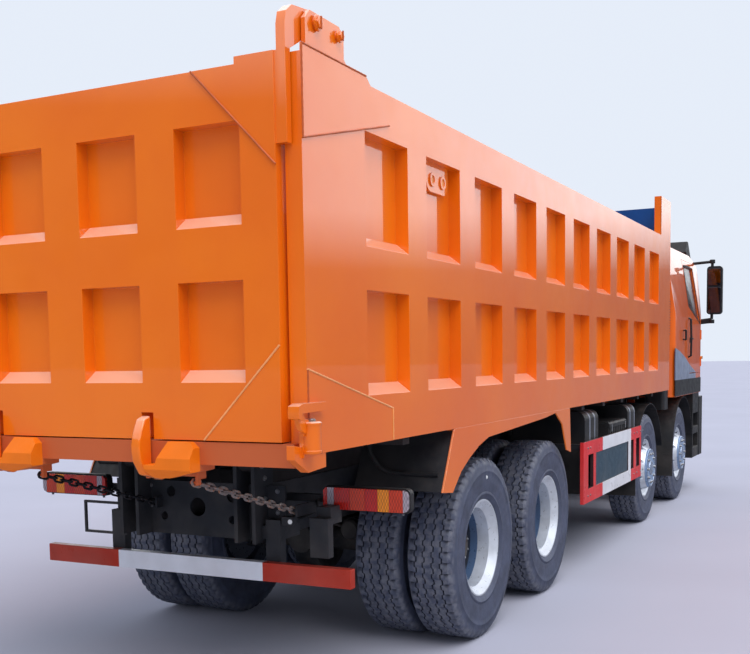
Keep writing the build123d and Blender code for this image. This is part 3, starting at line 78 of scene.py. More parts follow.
# Edges of painted zones, in metres
SILL_REAR_X = -5.185
SILL_FRONT_X = -5.025
SILL_TOP_Z = 1.399
BOARD_INNER_X = 2.628
GUARD_SLOT_Y = 1.233
GUARD_SLOT_X = -0.767
GUARD_BACK_Y = 1.2035

# Light
SKY_LIGHT = (0.86, 0.92, 1.0, 1)
SKY_LIGHT_STRENGTH = 0.64
SKY_SEEN = (0.79, 0.85, 0.95, 1)
GLOSS_HORIZON = (0.045, 0.05, 0.065, 1)
GLOSS_SKY = (0.93, 0.96, 1.0, 1)
GLOSS_STRENGTH = 1.8
GLOSS_RISE = (0.165, 0.22)
GLOSS_LEAN = 0.09
SUN_STRENGTH = 2.1
SUN_WIDTH = 50
SUN_COLOUR = (1.0, 0.98, 0.95)
SUN_WAY = (0.45, 0.5, -1.0)
FLOOR_REACH = 220

# Camera, solved from the photograph
EYE = (-8766.99, -3382.1, 1743.67)
YAW = 26.65
PITCH = -4.98
ROLL = -0.86
FOCAL_PIXELS = 1019.39
PHOTO_WIDTH = 750
HORIZON_SHIFT = 0.16
SENSOR = 36


def srgb(red, green, blue):
    """Screen colour, 0 to 255, as the linear colour that shaders take."""
    linear = []
    for value in (red, green, blue):
        value /= 255
        linear.append(value / 12.92 if value <= 0.04045 else ((value + 0.055) / 1.055) ** 2.4)
    return (*linear, 1)


def shaded(colour, share):
    """The colour with only a share of its light."""
    return (*(value * share for value in colour[:3]), 1)


# Shader nodes

class Look:
    """One material, with short forms for the nodes that its colour, roughness and bump need."""

    def __init__(self, name, rough=0.5, metal=0, **shader):
        self.material = bpy.data.materials.new(name)
        self.material.use_nodes = True
        self.nodes = self.material.node_tree.nodes
        self.shader = self.nodes["Principled BSDF"]
        self.shader.inputs["Roughness"].default_value = rough
        self.shader.inputs["Metallic"].default_value = metal
        for key, value in shader.items():
            self.shader.inputs[key.replace("_", " ")].default_value = value
        self.place = self.new("ShaderNodeTexCoord").outputs["Object"]

    def new(self, kind, **settings):
        node = self.nodes.new(kind)
        for key, value in settings.items():
            setattr(node, key, value)
        return node

    def plug(self, value, socket):
        if isinstance(value, bpy.types.NodeSocket):
            self.material.node_tree.links.new(value, socket)
        else:
            socket.default_value = value

    def noise(self, scale, detail=3, stretch=(1, 1, 1)):
        """Cloud noise about 0.5, its scale in lumps a metre."""
        spread = self.new("ShaderNodeMapping")
        spread.inputs["Scale"].default_value = stretch
        self.plug(self.place, spread.inputs["Vector"])
        cloud = self.new("ShaderNodeTexNoise")
        cloud.inputs["Scale"].default_value = scale
        cloud.inputs["Detail"].default_value = detail
        self.plug(spread.outputs["Vector"], cloud.inputs["Vector"])
        return cloud.outputs["Fac"]

    def span(self, value, low, high, out_low=0, out_high=1):
        """Straight change from one value to another between two limits."""
        node = self.new("ShaderNodeMapRange")
        self.plug(value, node.inputs["Value"])
        limits = {"From Min": low, "From Max": high, "To Min": out_low, "To Max": out_high}
        for name, number in limits.items():
            node.inputs[name].default_value = number
        return node.outputs["Result"]

    def math(self, kind, first, second=0.0):
        node = self.new("ShaderNodeMath", operation=kind)
        self.plug(first, node.inputs[0])
        self.plug(second, node.inputs[1])
        return node.outputs[0]

    def times(self, first, second):
        return self.math("MULTIPLY", first, second)

    def mix(self, share, first, second):
        node = self.new("ShaderNodeMix", data_type="RGBA")
        for value, socket in ((share, node.inputs[0]), (first, node.inputs[6]), (second, node.inputs[7])):
            self.plug(value, socket)
        return node.outputs[2]

    def axis(self, name):
        """Place along one axis, in metres."""
        node = self.new("ShaderNodeSeparateXYZ")
        self.plug(self.place, node.inputs[0])
        return node.outputs[name]

    def inside(self, name, low, high, soft=0.0006):
        """1 between two places on an axis, in metres, and 0 outside them."""
        place = self.axis(name)
        rise = self.span(place, low - soft, low + soft)
        fall = self.span(place, high - soft, high + soft, 1, 0)
        return self.times(rise, fall)

    def facing_up(self):
        """1 on faces of the piece that look up, 0 on upright ones."""
        coordinates = self.new("ShaderNodeTexCoord")
        node = self.new("ShaderNodeSeparateXYZ")
        self.plug(coordinates.outputs["Normal"], node.inputs[0])
        return self.span(node.outputs["Z"], 0.3, 0.9)

    def dusty(self, colour, amount, top=1.5, tint=srgb(150, 140, 132)):
        """The colour with road dust: more of it low down, in patches, and on faces that look up."""
        low = self.span(self.axis("Z"), top, 0.2)
        patch = self.span(self.noise(3.2, 6), 0.35, 0.7)
        film = self.times(low, patch)
        lying = self.times(self.facing_up(), self.span(self.noise(14, 5), 0.3, 0.75))
        both = self.math("MAXIMUM", film, self.times(lying, 0.7))
        return self.mix(self.times(both, amount), colour, tint)

    def base(self, colour):
        self.plug(colour, self.shader.inputs["Base Color"])

    def rough(self, scale, low, high):
        self.plug(self.span(self.noise(scale, 4), 0.3, 0.7, low, high), self.shader.inputs["Roughness"])

    def bump(self, height, distance, strength=1.0):
        node = self.new("ShaderNodeBump")
        node.inputs["Distance"].default_value = distance
        node.inputs["Strength"].default_value = strength
        self.plug(height, node.inputs["Height"])
        earlier = self.shader.inputs["Normal"].links
        if earlier:
            self.plug(earlier[0].from_socket, node.inputs["Normal"])
        self.plug(node.outputs["Normal"], self.shader.inputs["Normal"])


def enamel(name, colour, deep, dust=0.2, pale=0.8):
    """Glossy sprayed enamel on steel sheet: faint waves in the sheet, orange peel, dust low down, and faces
    that look up painted pale orange as a painted highlight.
    """
    look = Look(name, 0.35, Coat_Weight=1.0, Coat_Roughness=0.03, Coat_IOR=1.6, Specular_IOR_Level=0.2)
    tone = look.mix(look.span(look.noise(1.1, 4), 0.35, 0.65), deep, colour)
    streak = look.span(look.noise(9, 4, (1, 1, 0.12)), 0.55, 0.8, 0, 0.18)
    tone = look.mix(streak, tone, deep)
    tone = look.dusty(tone, dust, 1.45, srgb(190, 150, 130))
    # Faces that look up are mixed towards pale orange: painted highlight from the sky.
    look.base(look.mix(look.times(look.facing_up(), pale), tone, TOP_HIGHLIGHT_ORANGE))
    look.rough(6, 0.3, 0.42)
    look.bump(look.noise(2.4, 1), 0.004, 0.35)
    look.bump(look.noise(160, 2), 0.0004, 0.3)
    return look.material


def floor_paint(name, orange, sill, under):
    """The bed's floor: orange brackets at the very rear, a sill painted browner and darker as painted shade,
    a worn top, and an underside painted near black as painted shade.
    """
    look = Look(name, 0.48, Specular_IOR_Level=0.25)
    mottle = look.span(look.noise(5, 5), 0.3, 0.7)
    tone = look.mix(mottle, shaded(orange, 0.85), orange)
    # The sill below the gate is painted browner and darker: painted shade of a recessed face.
    tone = look.mix(look.span(look.axis("X"), SILL_REAR_X - 0.001, SILL_REAR_X + 0.001), tone, sill)
    # Below the sill's top and ahead of it, the underside is painted near black: painted shade under the bed.
    ahead = look.span(look.axis("X"), SILL_FRONT_X - 0.005, SILL_FRONT_X + 0.005)
    underside_shade_mask = look.times(ahead, look.span(look.axis("Z"), SILL_TOP_Z + 0.001, SILL_TOP_Z - 0.001))
    look.base(look.mix(underside_shade_mask, tone, under))
    look.rough(12, 0.4, 0.6)
    look.bump(look.noise(90, 3), 0.0006, 0.4)
    return look.material


def wheel_paint_and_shade(name, axle_x, zones, rough=0.32):
    """Wheel colours in zones: each a colour inside one radius of the axle and beyond one place across. On the
    rear rims the zones darken the deep dish as painted shade.
    """
    look = Look(name, rough, 0.3, Coat_Weight=0.3, Coat_Roughness=0.15)
    along = look.math("SUBTRACT", look.axis("X"), axle_x * MM)
    up = look.math("SUBTRACT", look.axis("Z"), AXLE_Z * MM)
    squares = look.math("ADD", look.math("POWER", look.math("ABSOLUTE", along), 2.0),
                        look.math("POWER", look.math("ABSOLUTE", up), 2.0))
    radius = look.math("SQRT", squares)
    across = look.math("ABSOLUTE", look.axis("Y"))
    tone = zones[0]
    for reach, beyond, colour in zones[1:]:
        near = look.span(radius, reach * MM + 0.0005, reach * MM - 0.0005)
        out = look.span(across, beyond * MM - 0.0005, beyond * MM + 0.0005)
        tone = look.mix(look.times(near, out), tone, colour)
    grime = look.span(look.noise(9, 6), 0.42, 0.75, 0, 0.3)
    look.base(look.mix(grime, tone, srgb(92, 88, 90)))
    look.rough(40, rough - 0.08, rough + 0.16)
    look.bump(look.noise(130, 3), 0.0003, 0.5)
    return look.material


def satin(name, colour, dust=0.5, rough=0.48, metal=0.0, grain=90, depth=0.0006):
    """Plain paint, cast metal or plastic: mottled, dusty and a little grained."""
    look = Look(name, rough, metal, Specular_IOR_Level=0.3)
    darker = shaded(colour, 0.72)
    tone = look.mix(look.span(look.noise(7, 5), 0.3, 0.7), darker, colour)
    look.base(look.dusty(tone, dust))
    look.rough(18, rough - 0.09, rough + 0.12)
    look.bump(look.noise(grain, 3), depth, 0.5)
    return look.material


def rubber(name, colour, tread):
    """Tyre rubber in the tyre's own axes: a dusty tread with its groove bottoms painted dark as painted
    shade, and a smoother wall with faint moulded rings.
    """
    look = Look(name, 0.6, Specular_IOR_Level=0.6)
    across = look.math("ABSOLUTE", look.axis("Y"))
    squares = [look.math("POWER", look.axis(name), 2.0) for name in "XZ"]
    radius = look.math("SQRT", look.math("ADD", *squares))
    darker = shaded(colour, 0.6)
    wall = look.mix(look.span(look.noise(11, 6), 0.3, 0.7), darker, colour)
    on_tread = look.span(radius, 0.5, 0.53)
    scuff = look.span(look.noise(26, 6), 0.38, 0.62, 0.0, 1.0)
    tone = look.mix(look.times(on_tread, scuff), wall, tread)
    # Groove bottoms painted darker: painted shade in the grooves.
    groove = look.times(look.span(radius, 0.556, 0.545), look.span(across, 0.122, 0.116))
    deep = look.times(groove, look.span(radius, 0.52, 0.54))
    look.base(look.mix(deep, tone, shaded(colour, 0.35)))
    look.rough(30, 0.5, 0.72)
    rings = look.math("SINE", look.times(radius, 900.0))
    at_wall = look.times(look.span(radius, 0.40, 0.44), look.span(radius, 0.5, 0.46))
    look.bump(look.times(rings, at_wall), 0.0004, 0.6)
    look.bump(look.noise(220, 3), 0.0006, 0.5)
    return look.material


def silver(name, colour, rough=0.32, metal=0.35):
    """Silver wheel paint with a little brake dust low on the disc."""
    look = Look(name, rough, metal, Coat_Weight=0.5, Coat_Roughness=0.15)
    darker = shaded(colour, 0.8)
    tone = look.mix(look.span(look.noise(16, 6), 0.35, 0.72), darker, colour)
    look.base(look.mix(look.span(look.noise(5, 5), 0.5, 0.75, 0, 0.22), tone, srgb(120, 112, 108)))
    look.rough(40, rough - 0.08, rough + 0.14)
    look.bump(look.noise(130, 3), 0.0003, 0.5)
    return look.material


def steel(name, colour, rust, amount, rough=0.4):
    """Bare or plated steel with rust or grime in its hollows."""
    look = Look(name, rough, 0.85)
    spots = look.span(look.noise(60, 6), 0.62 - amount * 0.3, 0.8 - amount * 0.2)
    look.base(look.mix(spots, colour, rust))
    look.plug(look.span(spots, 0, 1, 0.85, 0.2), look.shader.inputs["Metallic"])
    look.plug(look.span(spots, 0, 1, rough, 0.75), look.shader.inputs["Roughness"])
    look.bump(look.noise(180, 3), 0.0005, 0.5)
    return look.material


def chrome(name):
    look = Look(name, 0.09, 1.0)
    look.base(look.mix(look.span(look.noise(20, 5), 0.4, 0.7), srgb(205, 208, 212), srgb(226, 228, 232)))
    look.rough(50, 0.06, 0.16)
    look.bump(look.noise(8, 2, (1, 1, 6)), 0.0004, 0.2)
    return look.material


def lens(name, colour, ribs=64):
    """Moulded lamp lens with upright flutes inside."""
    look = Look(name, 0.12, Coat_Weight=1.0, Coat_Roughness=0.03, Specular_IOR_Level=0.6)
    flute = look.math("SINE", look.times(look.axis("Y"), ribs * 2 * pi))
    cross = look.math("SINE", look.times(look.axis("Z"), 0.45 * ribs * 2 * pi))
    cell = look.times(flute, cross)
    darker = shaded(colour, 0.45)
    tone = look.mix(look.span(look.math("ADD", cell, look.noise(30, 3)), -0.6, 1.6), darker, colour)
    look.base(tone)
    look.bump(flute, 0.0008, 0.6)
    return look.material


def glass(name, tint):
    """Tinted window pane with a film of dust towards its lower edge."""
    look = Look(name, 0.03, IOR=1.5, Alpha=0.42, Coat_Weight=1.0, Coat_Roughness=0.02)
    film = look.span(look.noise(9, 6), 0.45, 0.8, 0, 0.4)
    look.base(look.mix(film, tint, srgb(150, 156, 160)))
    look.plug(look.span(film, 0, 0.4, 0.36, 0.55), look.shader.inputs["Alpha"])
    look.rough(12, 0.02, 0.07)
    return look.material


def mirror_glass(name):
    look = Look(name, 0.03, 1.0)
    look.base(look.mix(look.span(look.noise(6, 3), 0.4, 0.7), srgb(92, 100, 116), srgb(118, 126, 140)))
    look.rough(9, 0.02, 0.06)
    return look.material


def fabric(name, colour, thread):
    """Woven seat cloth: crossing threads a few millimetres apart, with sheen."""
    look = Look(name, 0.85, Sheen_Weight=0.4, Sheen_Roughness=0.5)
    weave = look.math("SINE", look.times(look.axis("Y"), 2400.0))
    weft = look.math("SINE", look.times(look.math("ADD", look.axis("X"), look.axis("Z")), 2400.0))
    cell = look.times(weave, weft)
    tone = look.mix(look.span(cell, -1, 1), colour, thread)
    darker = shaded(colour, 0.6)
    look.base(look.mix(look.span(look.noise(8, 5), 0.45, 0.75, 0, 0.5), tone, darker))
    look.bump(cell, 0.0006, 0.6)
    return look.material


def banded(name, red, white, panel, axis, low, high, panel_box=None, slot_shade=None):
    """Safety red with a white middle part, and a blank panel, slots painted dark as painted shade and a dark
    back where a box is given.
    """
    look = Look(name, 0.45, Coat_Weight=0.1, Coat_Roughness=0.08, Specular_IOR_Level=0.15)
    middle = look.inside(axis, low * MM, high * MM)
    mottle = look.span(look.noise(6, 5), 0.3, 0.7)
    red_tone = look.mix(mottle, shaded(red, 0.78), red)
    white_tone = look.mix(mottle, shaded(white, 0.86), white)
    tone = look.mix(middle, red_tone, white_tone)
    if panel_box:
        share = 1.0
        for name_axis, span in panel_box:
            share = look.times(look.inside(name_axis, span[0] * MM, span[1] * MM), share)
        depth = look.math("ABSOLUTE", look.axis("Y"))
        # Faces inside the guard's slots, ahead of its rear end, are painted near black: painted shade.
        behind = look.span(depth, GUARD_SLOT_Y + 0.0005, GUARD_SLOT_Y - 0.0005)
        ahead = look.span(look.axis("X"), GUARD_SLOT_X - 0.001, GUARD_SLOT_X + 0.001)
        slots = look.times(behind, ahead)
        tone = look.mix(slots, tone, slot_shade)
        tone = look.mix(share, tone, panel)
        back = look.span(depth, GUARD_BACK_Y + 0.0005, GUARD_BACK_Y - 0.0005)
        tone = look.mix(back, tone, srgb(40, 42, 48))
    look.base(look.dusty(tone, 0.3, 1.1))
    look.rough(14, 0.26, 0.42)
    look.bump(look.noise(120, 2), 0.0004, 0.4)
    return look.material


def headboard_paint(name, orange, deep, blue):
    """Orange outside, and a blue face inside the bed above the walls' top."""
    look = Look(name, 0.35, Coat_Weight=1.0, Coat_Roughness=0.03, Coat_IOR=1.6, Specular_IOR_Level=0.2)
    tone = look.mix(look.span(look.noise(1.3, 4), 0.35, 0.65), deep, orange)
    inner = look.span(look.axis("X"), BOARD_INNER_X + 0.001, BOARD_INNER_X - 0.001)
    look.base(look.mix(inner, tone, look.mix(look.noise(4, 4), blue, shaded(blue, 0.7))))
    look.rough(6, 0.3, 0.46)
    look.bump(look.noise(2.4, 1), 0.004, 0.3)
    return look.material


ORANGE = srgb(240, 118, 10)
ORANGE_DEEP = srgb(232, 106, 8)
# Pale orange for faces that look up: a painted highlight.
TOP_HIGHLIGHT_ORANGE = srgb(248, 196, 172)
SILVER = srgb(214, 220, 232)
FRONT_ZONES = (SILVER, (202, 1180, srgb(150, 176, 214)))
# Rear rims: silver near the lip; deeper in the dish the zones are painted darker and bluer towards the disc
# and hub: painted shade.
REAR_ZONES = (
    SILVER, (300, 0, srgb(62, 68, 82)), (300, 985, srgb(92, 118, 156)), (300, 1035, SILVER),
    (240, 700, srgb(92, 124, 168)), (170, 700, srgb(70, 76, 90)), (128, 700, srgb(96, 104, 120)))
SEAT_CLOTH = (srgb(62, 64, 70), srgb(96, 98, 106))

FINISHES = (
    (enamel, "bed_orange", ORANGE, ORANGE_DEEP),
    (enamel, "cab_orange", srgb(238, 106, 22), srgb(220, 92, 18), 0.3, 0.2),
    (headboard_paint, "head_orange", ORANGE, ORANGE_DEEP, srgb(20, 84, 166)),
    # Floor colours: orange, then the sill's painted shade and the underside's painted shade.
    (floor_paint, "floor_orange", ORANGE, srgb(190, 92, 50), srgb(44, 40, 42)),
    # Weld beads in a pale and a dark copy of the body paint: painted highlight and painted shade along the
    # seams.
    (satin, "seam_pale", srgb(250, 168, 104), 0.1, 0.4),
    (satin, "seam_dark", srgb(196, 92, 44), 0.1, 0.4),
    (satin, "chassis_black", srgb(40, 43, 51), 0.3, 0.42),
    (satin, "cast_black", srgb(34, 36, 42), 0.4, 0.6, 0.2, 60, 0.0014),
    (satin, "plastic_black", srgb(30, 32, 38), 0.2, 0.5, 0.0, 340, 0.0003),
    (satin, "flap_black", srgb(36, 38, 45), 0.3, 0.55, 0.0, 50, 0.001),
    (satin, "trim_grey", srgb(128, 138, 162), 0.2, 0.45, 0.0, 300, 0.0003),
    (satin, "lining_grey", srgb(92, 94, 102), 0.05, 0.6, 0.0, 300, 0.0004),
    (rubber, "tyre_rubber", srgb(72, 79, 104), srgb(98, 101, 116)),
    (wheel_paint_and_shade, "rim_1", AXLES[0], FRONT_ZONES),
    (wheel_paint_and_shade, "rim_2", AXLES[1], FRONT_ZONES),
    (wheel_paint_and_shade, "rim_3", AXLES[2], REAR_ZONES),
    (wheel_paint_and_shade, "rim_4", AXLES[3], REAR_ZONES),
    (silver, "disc_silver", srgb(168, 184, 212), 0.26, 0.55),
    (silver, "tank_silver", srgb(176, 180, 188), 0.34, 0.85),
    (steel, "bolt_steel", srgb(150, 152, 158), srgb(92, 70, 56), 0.3),
    (steel, "dark_steel", srgb(84, 86, 92), srgb(70, 56, 48), 0.4, 0.5),
    (steel, "chain_worn", srgb(176, 168, 166), srgb(160, 98, 58), 0.5, 0.45),
    (satin, "strap_grey", srgb(150, 156, 172), 0.1, 0.4, 0.5),
    (steel, "chain_black", srgb(58, 59, 66), srgb(64, 52, 48), 0.35, 0.45),
    (chrome, "hoist_chrome"),
    (lens, "lens_red", srgb(206, 34, 22)),
    (lens, "lens_warm", srgb(216, 62, 22)),
    (lens, "lens_amber", srgb(255, 150, 16)),
    (lens, "lens_clear", srgb(176, 164, 178)),
    (lens, "lens_head", srgb(226, 230, 236), 50),
    (glass, "window_glass", srgb(60, 70, 82)),
    (mirror_glass, "mirror_glass"),
    (fabric, "seat_cloth", *SEAT_CLOTH),
    (banded, "bar_bands", srgb(182, 52, 36), srgb(222, 226, 240), None, "Y", -482, 482),
    (banded, "guard_bands", srgb(226, 52, 56), srgb(226, 228, 238), srgb(46, 70, 86), "X", -157, 920,
        (("X", (-390, 808)), ("Z", (658, 932)), ("Y", (-1231, 1231))), srgb(52, 26, 34)),
    (satin, "white_mark", srgb(236, 238, 242), 0.0, 0.5),
    (satin, "hose_black", srgb(34, 35, 40), 0.3, 0.55),
)
MATERIALS = {name: make(name, *settings) for make, name, *settings in FINISHES}


# Meshes

def side_axes(way):
    """Two directions square to a third."""
    way = Vector(way).normalized()
    up = Vector((0, 0, 1)) if abs(way.z) < 0.9 else Vector((1, 0, 0))
    first = up.cross(way).normalized()
    return first, way.cross(first)


class Shape:
    """A mesh that grows piece by piece, in millimetres, with one finish for each piece."""

    def __init__(self):
        self.points = []
        self.faces = []
        self.finish_of = []
        self.finishes = []
        self.finish = 0

    def use(self, material):
        if material not in self.finishes:
            self.finishes.append(material)
        self.finish = self.finishes.index(material)
        return self

    def add(self, points, faces):
        start = len(self.points)
        self.points += [tuple(point) for point in points]
        for face in faces:
            self.faces.append([start + corner for corner in face])
            self.finish_of.append(self.finish)

    def box(self, x, y, z):
        corners = [(a, b, c) for a in x for b in y for c in z]
        faces = ((0, 1, 3, 2), (4, 6, 7, 5), (0, 4, 5, 1), (2, 3, 7, 6), (0, 2, 6, 4), (1, 5, 7, 3))
        self.add(corners, faces)

    def prism(self, outline, axis, span):
        """An outline in the two other axes, in their order, pulled along one axis."""
        count = len(outline)
        place = {
            "X": lambda a, b, s: (s, a, b), "Y": lambda a, b, s: (a, s, b), "Z": lambda a, b, s: (a, b, s)}
        points = [place[axis](a, b, s) for s in span for a, b in outline]
        faces = [[k, (k + 1) % count, count + (k + 1) % count, count + k] for k in range(count)]
        faces += [list(range(count))[::-1], list(range(count, 2 * count))]
        self.add(points, faces)

    def rings(self, loops, close=False, caps=True):
        """Rings of the same count joined one to the next."""
        count = len(loops[0])
        points = [point for loop in loops for point in loop]
        faces = []
        steps = len(loops) if close else len(loops) - 1
        for k in range(steps):
            a = k * count
            b = (k + 1) % len(loops) * count
            for j in range(count):
                n = (j + 1) % count
                faces.append([a + j, a + n, b + n, b + j])
        if caps and not close:
            faces.append(list(range(count))[::-1])
            faces.append(list(range((len(loops) - 1) * count, len(loops) * count)))
        self.add(points, faces)

    def turned(self, profile, centre, way=(0, 1, 0), sides=32, close=True):
        """A profile of radius and place along a direction, turned about it. Closed profiles make rings."""
        way = Vector(way).normalized()
        first, second = side_axes(way)
        centre = Vector(centre)
        loops = []
        for radius, along in profile:
            loop = []
            for k in range(sides):
                turn = 2 * pi * k / sides
                loop.append(centre + way * along + (first * cos(turn) + second * sin(turn)) * radius)
            loops.append(loop)
        self.rings(loops, close=close, caps=not close)

    def rod(self, start, end, radius, sides=16):
        start, end = Vector(start), Vector(end)
        self.turned(((radius, 0), (radius, (end - start).length)), start, end - start, sides, close=False)

    def tube(self, path, radius, sides=10, close=False, bead=0.0):
        """A round bar, hose or weld bead through points, its thickness rippled by bead."""
        path = [Vector(point) for point in path]
        count = len(path)
        loops = []
        normal = None
        for k, point in enumerate(path):
            ahead = path[(k + 1) % count] if close or k < count - 1 else point
            behind = path[k - 1] if close or k > 0 else point
            way = (ahead - behind).normalized()
            if normal is None:
                normal = side_axes(way)[0]
            normal = (normal - way * normal.dot(way)).normalized()
            other = way.cross(normal)
            size = radius * (1 + bead * (k % 2))
            loops.append([
                point + (normal * cos(2 * pi * j / sides) + other * sin(2 * pi * j / sides)) * size
                for j in range(sides)])
        self.rings(loops, close=close)

    def bolt(self, at, way, size, height=None):
        """Hexagon head on a washer, standing up along a direction."""
        at, way = Vector(at), Vector(way).normalized()
        height = height or size * 0.8
        self.turned(((size * 1.25, 0), (size * 1.25, size * 0.2)), at, way, 20, close=False)
        self.turned(
            ((size, size * 0.2), (size, height * 0.85), (size * 0.86, height)), at, way, 6, close=False)

    def weld(self, start, end, radius=4.0, pitch=9.0):
        """A rippled weld bead along a straight seam."""
        start, end = Vector(start), Vector(end)
        steps = max(2, int((end - start).length / pitch))
        self.tube([start.lerp(end, k / steps) for k in range(steps + 1)], radius, 6, bead=0.28)

    def mirrored(self):
        """Adds the same pieces on the other side, their faces turned round."""
        count = len(self.points)
        self.points += [(x, -y, z) for x, y, z in self.points]
        self.faces += [[count + corner for corner in reversed(face)] for face in self.faces]
        self.finish_of += self.finish_of
        return self

    def build(self, name, body=None, slot=None, bevel=0.0, stands_for=()):
        """Makes the object, rides it on a body and gives it a bevel of some millimetres."""
        mesh = bpy.data.meshes.new(name)
        mesh.from_pydata([[value * MM for value in point] for point in self.points], [], self.faces)
        for material in self.finishes:
            mesh.materials.append(MATERIALS[material])
        mesh.polygons.foreach_set("material_index", self.finish_of)
        piece = place_mesh(name, mesh)
        smooth(piece, bevel)
        attach(piece, body, stands_for)
        return piece


def place_mesh(name, mesh, at=None):
    piece = bpy.data.objects.new(name, mesh)
    bpy.context.scene.collection.objects.link(piece)
    if at:
        piece.location = [value * MM for value in at]
    return piece


def shade_smooth(mesh):
    mesh.polygons.foreach_set("use_smooth", [True] * len(mesh.polygons))


def round_edges(piece, bevel, angle, segments=2):
    """Narrow bevels on edges sharper than an angle."""
    edge = piece.modifiers.new("edges", "BEVEL")
    edge.width = bevel * MM
    edge.segments = segments
    edge.limit_method = "ANGLE"
    edge.angle_limit = radians(angle)


def even_normals(piece):
    piece.modifiers.new("normals", "WEIGHTED_NORMAL").keep_sharp = True


def smooth(piece, bevel):
    """Smooth faces with crisp edges: narrow bevels where a size is given, else split normals by angle."""
    shade_smooth(piece.data)
    if bevel:
        round_edges(piece, bevel, CREASE)
        even_normals(piece)
    else:
        piece.data.set_sharp_from_angle(angle=radians(CREASE))


def attach(piece, body, stands_for):
    if body:
        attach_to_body(piece, body)
    if stands_for:
        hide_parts(*stands_for)


def dress(frame, node, material, bevel):
    """Finish of a CAD node: its mesh stays, with its edges rounded by modifiers."""
    piece = frame["nodes"][node]
    mesh = piece.data
    for name in ("custom_normal", "sharp_face", "sharp_edge"):
        if name in mesh.attributes:
            mesh.attributes.remove(mesh.attributes[name])
    shade_smooth(mesh)
    mesh.materials.clear()
    mesh.materials.append(MATERIALS[material])
    weld = piece.modifiers.new("join", "WELD")
    weld.merge_threshold = 0.00002
    flat = piece.modifiers.new("flat", "DECIMATE")
    flat.decimate_type = "DISSOLVE"
    flat.angle_limit = radians(CAD_FLAT)
    if bevel:
        round_edges(piece, bevel, CAD_CREASE, 1 if material.startswith("rim_") else 2)
    even_normals(piece)


SIDES = (("left", 1), ("right", -1))

# Finish, edge rounding in millimetres, and nodes: a name that ends in _ is there left and right
DRESS = (
    ("bed_orange", 3, ("bed_side_", "tailgate")),
    ("bed_orange", 2, ("bed_fenders",)),
    ("bed_orange", 10, ("gate_hook_",)),
    ("floor_orange", 3, ("bed_floor",)),
    ("head_orange", 3, ("headboard",)),
    ("flap_black", 2, ("mudflaps",)),
    ("cab_orange", 4, ("cab_shell",)),
    ("cab_orange", 3, ("door_",)),
    ("window_glass", 0, ("cab_glass", "door_glass_")),
    ("plastic_black", 2, ("wheel_arches",)),
    ("plastic_black", 3, ("mirrors",)),
    ("plastic_black", 4, ("cab_trim", "headlamps", "side_boxes", "air_intake")),
    ("plastic_black", 5, ("cab_steps", "front_bumper")),
    ("chassis_black", 2, ("frame_rails", "crossmembers", "rear_brackets")),
    ("chassis_black", 3, ("hoist_cover",)),
    ("cast_black", 2, ("leaf_springs",)),
    ("cast_black", 3, ("knuckle_1_", "knuckle_2_")),
    ("cast_black", 4, ("axles",)),
    ("cast_black", 6, ("powertrain",)),
    ("bar_bands", 3, ("underrun_bar",)),
    ("guard_bands", 3, ("side_guards",)),
    ("tank_silver", 3, ("fuel_tank",)),
    ("hoist_chrome", 1, ("hoist_stage_1", "hoist_stage_2", "hoist_stage_3", "hoist_stage_4")),
    ("rim_1", 2, ("rim_1_",)),
    ("rim_2", 2, ("rim_2_",)),
    ("rim_3", 2, ("rims_3_",)),
    ("rim_4", 2, ("rims_4_",)),
)


# Tyres

PITCHES = 54
PITCH_STEPS = (0, 0.08, 0.42, 0.5, 0.58, 0.92)
GROOVES = (-80, -28, 28, 80)
GROOVE_W = 11
GROOVE_DEPTH = 14
ZIGZAG = 6
WALL_PROFILE = (
    (258, 79), (280, 101), (300, 119), (312, 134), (330, 140), (334, 144), (345, 144), (349, 141),
    (400, 148), (440, 150), (468, 149), (472, 151.5), (480, 151), (484, 148), (510, 145),
    (530, 140), (544, 133),
)


def tread_columns(wave):
    """Places across the tread and their depths, from one shoulder to the other."""
    columns = [(-122, 0), (-104, 0)]
    for groove in GROOVES:
        mid = groove + wave
        half = GROOVE_W / 2
        columns += [
            (mid - half, 0), (mid - half + 2, GROOVE_DEPTH), (mid + half - 2, GROOVE_DEPTH), (mid + half, 0)]
        columns.append((mid + 26 if groove < 80 else 104, 0))
    columns.append((122, 0))
    return columns


def tyre_mesh():
    """One tyre on its own centre: zigzag grooves, notched shoulders, moulded wall rings, open bore."""
    shape = Shape().use("tyre_rubber")
    loops = []
    for pitch in range(PITCHES):
        for step in PITCH_STEPS:
            turn = 2 * pi * (pitch + step) / PITCHES
            wave = ZIGZAG if step in (0.08, 0.42, 0.0) else -ZIGZAG
            notch = 12 if step in (0.42, 0.5) else 0
            sipe = 2.5 if step in (0.0,) else 0
            section = [(radius, -across) for radius, across in WALL_PROFILE]
            section[-1] = (section[-1][0] - notch * 0.8, section[-1][1])
            for place, depth in tread_columns(wave):
                crown = 4.5 * (place / 122) ** 2
                outer = notch if abs(place) > 103 else sipe
                section.append((TYRE_R - crown - max(depth, outer), place))
            wall = [(radius, across) for radius, across in reversed(WALL_PROFILE)]
            wall[0] = (wall[0][0] - notch * 0.8, wall[0][1])
            section += wall
            loops.append([(radius * sin(turn), across, radius * cos(turn)) for radius, across in section])
    shape.rings(loops, close=True)
    mesh = bpy.data.meshes.new("tyre")
    mesh.from_pydata([[v * MM for v in point] for point in shape.points], [], shape.faces)
    mesh.materials.append(MATERIALS["tyre_rubber"])
    shade_smooth(mesh)
    mesh.set_sharp_from_angle(angle=radians(TYRE_CREASE))
    return mesh


